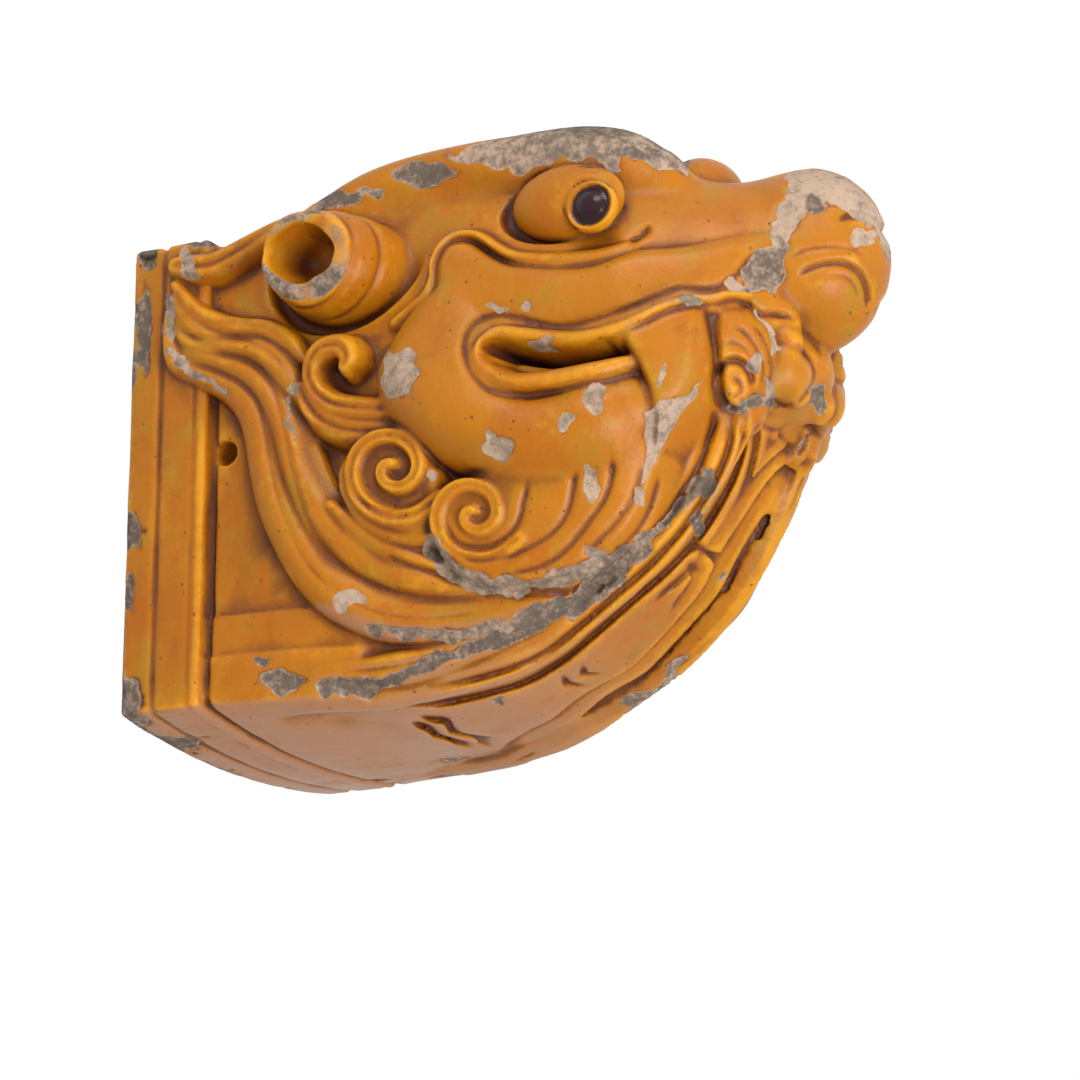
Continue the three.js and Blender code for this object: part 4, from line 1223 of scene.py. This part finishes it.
def drop_bubbles(piece):
    """Delete the tiny hollows that joins of forms leave inside the clay"""
    mesh = piece.data
    tip = int(read_mesh(mesh)[0][:, 0].argmax())
    make_active(piece)
    bpy.ops.object.mode_set(mode="EDIT")
    bpy.ops.mesh.select_mode(type="VERT")
    bpy.ops.mesh.select_all(action="DESELECT")
    bpy.ops.object.mode_set(mode="OBJECT")
    mesh.vertices[tip].select = True
    bpy.ops.object.mode_set(mode="EDIT")
    bpy.ops.mesh.select_linked()
    bpy.ops.mesh.select_all(action="INVERT")
    bpy.ops.mesh.delete(type="VERT")
    bpy.ops.object.mode_set(mode="OBJECT")


class BEAST_OT_head(bpy.types.Operator):
    """Model the hollow head in clay and glaze it"""
    bl_idname = "beast.head"
    bl_label = "Glazed head"

    def execute(self, context):
        sizes = context.scene.beast_sizes
        pitch = sizes.pitch / MILLIMETRE
        clay = model_clay(pitch)
        piece = clay_mesh(clay, "glazed_head")
        chip_surface(piece)
        drop_bubbles(piece)
        faces = len(piece.data.polygons) * 2
        thin = piece.modifiers.new("Thin out", "DECIMATE")
        thin.ratio = min(1.0, sizes.triangles / faces)
        bpy.ops.object.modifier_apply(modifier=thin.name)
        bpy.ops.object.shade_smooth()
        surface_marks(piece, clay)
        piece.data.materials.append(glaze_finish(context.scene.beast_colours))
        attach(piece, "root")
        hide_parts("beast_head")
        return {"FINISHED"}


class Value:
    """A number that varies over the surface. Sums and products of it add Math nodes"""

    def __init__(self, finish, socket):
        self.finish, self.socket = finish, socket

    def math(self, operation, first, second, clamp=False):
        """Add a Math node"""
        settings = {"operation": operation, "use_clamp": clamp}
        node = self.finish.node("ShaderNodeMath", settings, {0: first, 1: second})
        return Value(self.finish, node.outputs[0])

    def __add__(self, other):
        return self.math("ADD", self, other)

    def __radd__(self, other):
        return self.math("ADD", other, self)

    def __sub__(self, other):
        return self.math("SUBTRACT", self, other)

    def __rsub__(self, other):
        return self.math("SUBTRACT", other, self)

    def __mul__(self, other):
        return self.math("MULTIPLY", self, other)

    def __rmul__(self, other):
        return self.math("MULTIPLY", other, self)

    def clamped(self):
        """Keep the value between 0 and 1"""
        return self.math("ADD", self, 0.0, clamp=True)

    def most(self, other):
        """The higher of two values"""
        return self.math("MAXIMUM", self, other)

    def between(self, low, high):
        """Rise smoothly from 0 at low to 1 at high"""
        settings = {"interpolation_type": "SMOOTHSTEP"}
        node = self.finish.node(
            "ShaderNodeMapRange", settings, {"Value": self, "From Min": low, "From Max": high})
        return Value(self.finish, node.outputs[0])


class Finish:
    """A material put together from nodes"""

    def __init__(self, name):
        self.material = bpy.data.materials.new(name)
        self.material.use_nodes = True
        self.tree = self.material.node_tree
        self.shader = self.tree.nodes["Principled BSDF"]
        self.place = self.node("ShaderNodeTexCoord", {}, {}).outputs["Object"]

    def node(self, kind, settings, inputs):
        """Add a node, set its settings first, then give its sockets their values or links"""
        node = self.tree.nodes.new(kind)
        for name, value in settings.items():
            setattr(node, name, value)
        for name, value in inputs.items():
            self.join(value, node.inputs[name])
        return node

    def join(self, value, socket):
        """Link a value to a socket, or set the socket to it"""
        if isinstance(value, Value):
            value = value.socket
        if isinstance(value, bpy.types.NodeSocket):
            self.tree.links.new(value, socket)
        else:
            socket.default_value = value

    def attribute(self, name):
        """A number written on each vertex"""
        return Value(self, self.node("ShaderNodeAttribute", {"attribute_name": name}, {}).outputs["Fac"])

    def noise(self, size, detail=3.0, rough=0.55, stretch=None):
        """Noise from 0 to 1 with lumps of the given size in metres"""
        place = self.place
        if stretch:
            place = self.node("ShaderNodeMapping", {}, {"Vector": place, "Scale": stretch}).outputs[0]
        node = self.node("ShaderNodeTexNoise", {}, {
            "Vector": place, "Scale": 1.0 / size, "Detail": detail, "Roughness": rough})
        return Value(self, node.outputs["Fac"])

    def dots(self, size):
        """Distance from scattered points, in shares of their spacing in metres"""
        inputs = {"Vector": self.place, "Scale": 1.0 / size}
        node = self.node("ShaderNodeTexVoronoi", {"feature": "F1"}, inputs)
        return Value(self, node.outputs["Distance"])

    def blend(self, share, first, second):
        """Mix two colours"""
        first, second = (c if isinstance(c, bpy.types.NodeSocket) else (*c, 1.0) for c in (first, second))
        node = self.node("ShaderNodeMix", {"data_type": "RGBA"}, {0: share, 6: first, 7: second})
        return node.outputs[2]

    def bump(self, height, distance, strength, normal=None):
        """A normal tilted by a height, on top of another normal if one is given"""
        inputs = {"Height": height, "Distance": distance, "Strength": strength}
        if normal is not None:
            inputs["Normal"] = normal
        return self.node("ShaderNodeBump", {}, inputs).outputs[0]


def glaze_finish(colours):
    """Amber lead glaze over fired clay, with brown glaze in the cuts and bare clay where it is chipped"""
    finish = Finish("amber_glaze")
    pool, ridge = finish.attribute("pool"), finish.attribute("ridge")
    chip, grime = finish.attribute("chip"), finish.attribute("grime")
    pupil, unglazed, thin = (finish.attribute(name) for name in ("pupil", "unglazed", "thin"))
    broad = finish.noise(0.045, detail=2)
    streaks = finish.noise(0.012, detail=4, stretch=(1.0, 1.0, 0.35))
    grain = finish.noise(0.0022, detail=4, rough=0.6)
    fine = finish.noise(0.0007, detail=2)
    specks = finish.dots(0.0075)

    # Glaze: thin and yellow on the swells, even amber with warm and olive clouds, then brown in the cuts
    mottle = finish.noise(0.0055, detail=5, rough=0.7)
    clouds = finish.noise(0.021, detail=3, stretch=(1.0, 1.0, 0.6))
    even = finish.blend(
        (broad + streaks * 0.5 - 0.3).between(0.25, 0.75), colours.glaze, colours.glaze_warm)
    olive = finish.blend((clouds + (mottle - 0.5) * 0.7).between(0.46, 0.72), even, colours.glaze_olive)
    light = finish.blend(
        (ridge * 0.8 + (streaks - 0.5) * 1.2 + (mottle - 0.5)).between(0.05, 0.95), olive, colours.glaze_thin)
    # deep follows pooled glaze in the cuts, and the painted shade in the eye socket's gap
    deep = pool * 1.25 + (streaks - 0.5) * 0.35 + (grain - 0.5) * 0.25
    brown = finish.blend(deep.between(0.26, 1.0), light, colours.glaze_brown)
    pooled = finish.blend(deep.between(0.9, 1.3), brown, colours.glaze_pooled)
    # Painted reflection: downward faces under the throat take a pinkish paler colour in place of the floor's
    # reflection in the glaze
    underside_reflection_share = (thin * 0.9 + (mottle - 0.5) * thin * 1.2).clamped() * (1.0 - deep.between(0.2, 0.8))
    reflected = finish.blend(underside_reflection_share, pooled, colours.painted_reflection_colour)
    pits = specks.between(0.16, 0.06) * grain.between(0.48, 0.60)
    glazed = finish.blend(pits * 0.7, reflected, colours.glaze_pooled)

    # Clay: pinkish, stained by dirt that settles in its pores
    stained = finish.blend(
        (mottle + (broad - 0.5) * 0.8).between(0.35, 0.7), colours.clay, colours.clay_grey)
    dirty = finish.blend(
        (grime * 0.8 + (mottle - 0.5) * 1.5 + (grain - 0.5) * 0.9).between(0.15, 0.95), stained, colours.dirt)
    mossy = finish.blend(grime * finish.noise(0.02).between(0.58, 0.72) * 0.4, dirty, colours.moss)

    # Where the clay shows: ragged patches with thin edges, and flecks along the worn ridges
    patch = (chip * 1.15 + (grain - 0.5) * 0.6 + (mottle - 0.5) * 0.5).between(0.32, 0.72)
    fleck = (ridge * 0.6 + (grain - 0.5) * 1.3 + (broad - 0.5) * 0.9).between(0.70, 0.84)
    bare = patch.most(fleck * 0.6).most(unglazed).clamped()
    surface = finish.blend(bare, glazed, mossy)
    finish.join(finish.blend(pupil, surface, colours.pupil), finish.shader.inputs["Base Color"])

    # Gloss and relief: the glaze lies a little proud and is pitted, and the clay is dull and grainy
    gloss = 0.24 + streaks * 0.10 + mottle * 0.12 + deep.clamped() * 0.08 + grime * 0.2
    rough = (gloss * (1.0 - bare) + bare * 0.86) * (1.0 - pupil) + pupil * 0.12
    finish.join(rough, finish.shader.inputs["Roughness"])
    lumps = finish.bump(finish.noise(0.009, detail=4, rough=0.6), 0.0007, 0.6)
    height = (1.0 - bare) * 0.6 + grain * (0.2 + bare * 0.9) + mottle * 0.35
    height = height + fine * bare * 0.35 - pits * 0.6
    finish.join(finish.bump(height, 0.0006, 0.9, lumps), finish.shader.inputs["Normal"])
    finish.shader.inputs["Specular IOR Level"].default_value = 0.2
    return finish.material


class BEAST_OT_stage(bpy.types.Operator):
    """Set the pale floor, the soft lights and the camera at the photograph's angle"""
    bl_idname = "beast.stage"
    bl_label = "Stage"

    def execute(self, context):
        back = Vector(VIEW_BACK)
        target = Vector(VIEW_TARGET - np.array([0, 0, FRAME_MIDDLE])) * MILLIMETRE
        data = bpy.data.cameras.new("view")
        data.sensor_width = SENSOR
        data.lens = VIEW_FOCUS / (2 * VIEW_MIDDLE) * SENSOR
        data.clip_start, data.clip_end = 0.05, 50
        camera = bpy.data.objects.new("view", data)
        context.scene.collection.objects.link(camera)
        camera.location = target + back * VIEW_DISTANCE * MILLIMETRE
        camera.rotation_euler = (-back).to_track_quat("-Z", "Y").to_euler()
        context.scene.camera = camera

        clear_selection()
        bpy.ops.mesh.primitive_plane_add(size=FLOOR_SIZE, location=(0, 0, FLOOR_HEIGHT))
        floor = context.active_object
        floor.name = "floor"
        pale = bpy.data.materials.new("pale_floor")
        pale.use_nodes = True
        shader = pale.node_tree.nodes["Principled BSDF"]
        shader.inputs["Base Color"].default_value = FLOOR_COLOUR
        shader.inputs["Roughness"].default_value = FLOOR_ROUGHNESS
        floor.data.materials.append(pale)

        world = bpy.data.worlds.new("studio")
        world.use_nodes = True
        sky = world.node_tree.nodes["Background"]
        sky.inputs["Color"].default_value = (1, 1, 1, 1)
        sky.inputs["Strength"].default_value = 1.0
        context.scene.world = world
        context.scene.view_settings.view_transform = "Standard"

        for name, place, size, power in LIGHTS:
            light_data = bpy.data.lights.new(name, "AREA")
            light_data.shape = "SQUARE"
            light_data.size = size
            light_data.energy = power
            light = bpy.data.objects.new(name, light_data)
            context.scene.collection.objects.link(light)
            light.location = place
            aim = target - Vector(place)
            light.rotation_euler = aim.to_track_quat("-Z", "Y").to_euler()
        return {"FINISHED"}


class BEAST_PT_panel(bpy.types.Panel):
    """Shows buttons that build the head and set the stage"""
    bl_idname = "BEAST_PT_panel"
    bl_label = "Ridge beast ornament"
    bl_space_type = "VIEW_3D"
    bl_region_type = "UI"
    bl_category = "Ornament"

    def draw(self, context):
        for kind in (BEAST_OT_head, BEAST_OT_stage):
            self.layout.operator(kind.bl_idname)


CLASSES = (BeastSizes, BeastColours, BEAST_OT_head, BEAST_OT_stage, BEAST_PT_panel)


def register():
    for kind in CLASSES:
        bpy.utils.register_class(kind)
    bpy.types.Scene.beast_sizes = bpy.props.PointerProperty(type=BeastSizes)
    bpy.types.Scene.beast_colours = bpy.props.PointerProperty(type=BeastColours)


def unregister():
    del bpy.types.Scene.beast_colours
    del bpy.types.Scene.beast_sizes
    for kind in reversed(CLASSES):
        bpy.utils.unregister_class(kind)


def main():
    register()
    bpy.ops.beast.head()
    bpy.ops.beast.stage()


if __name__ == "__main__":
    main()
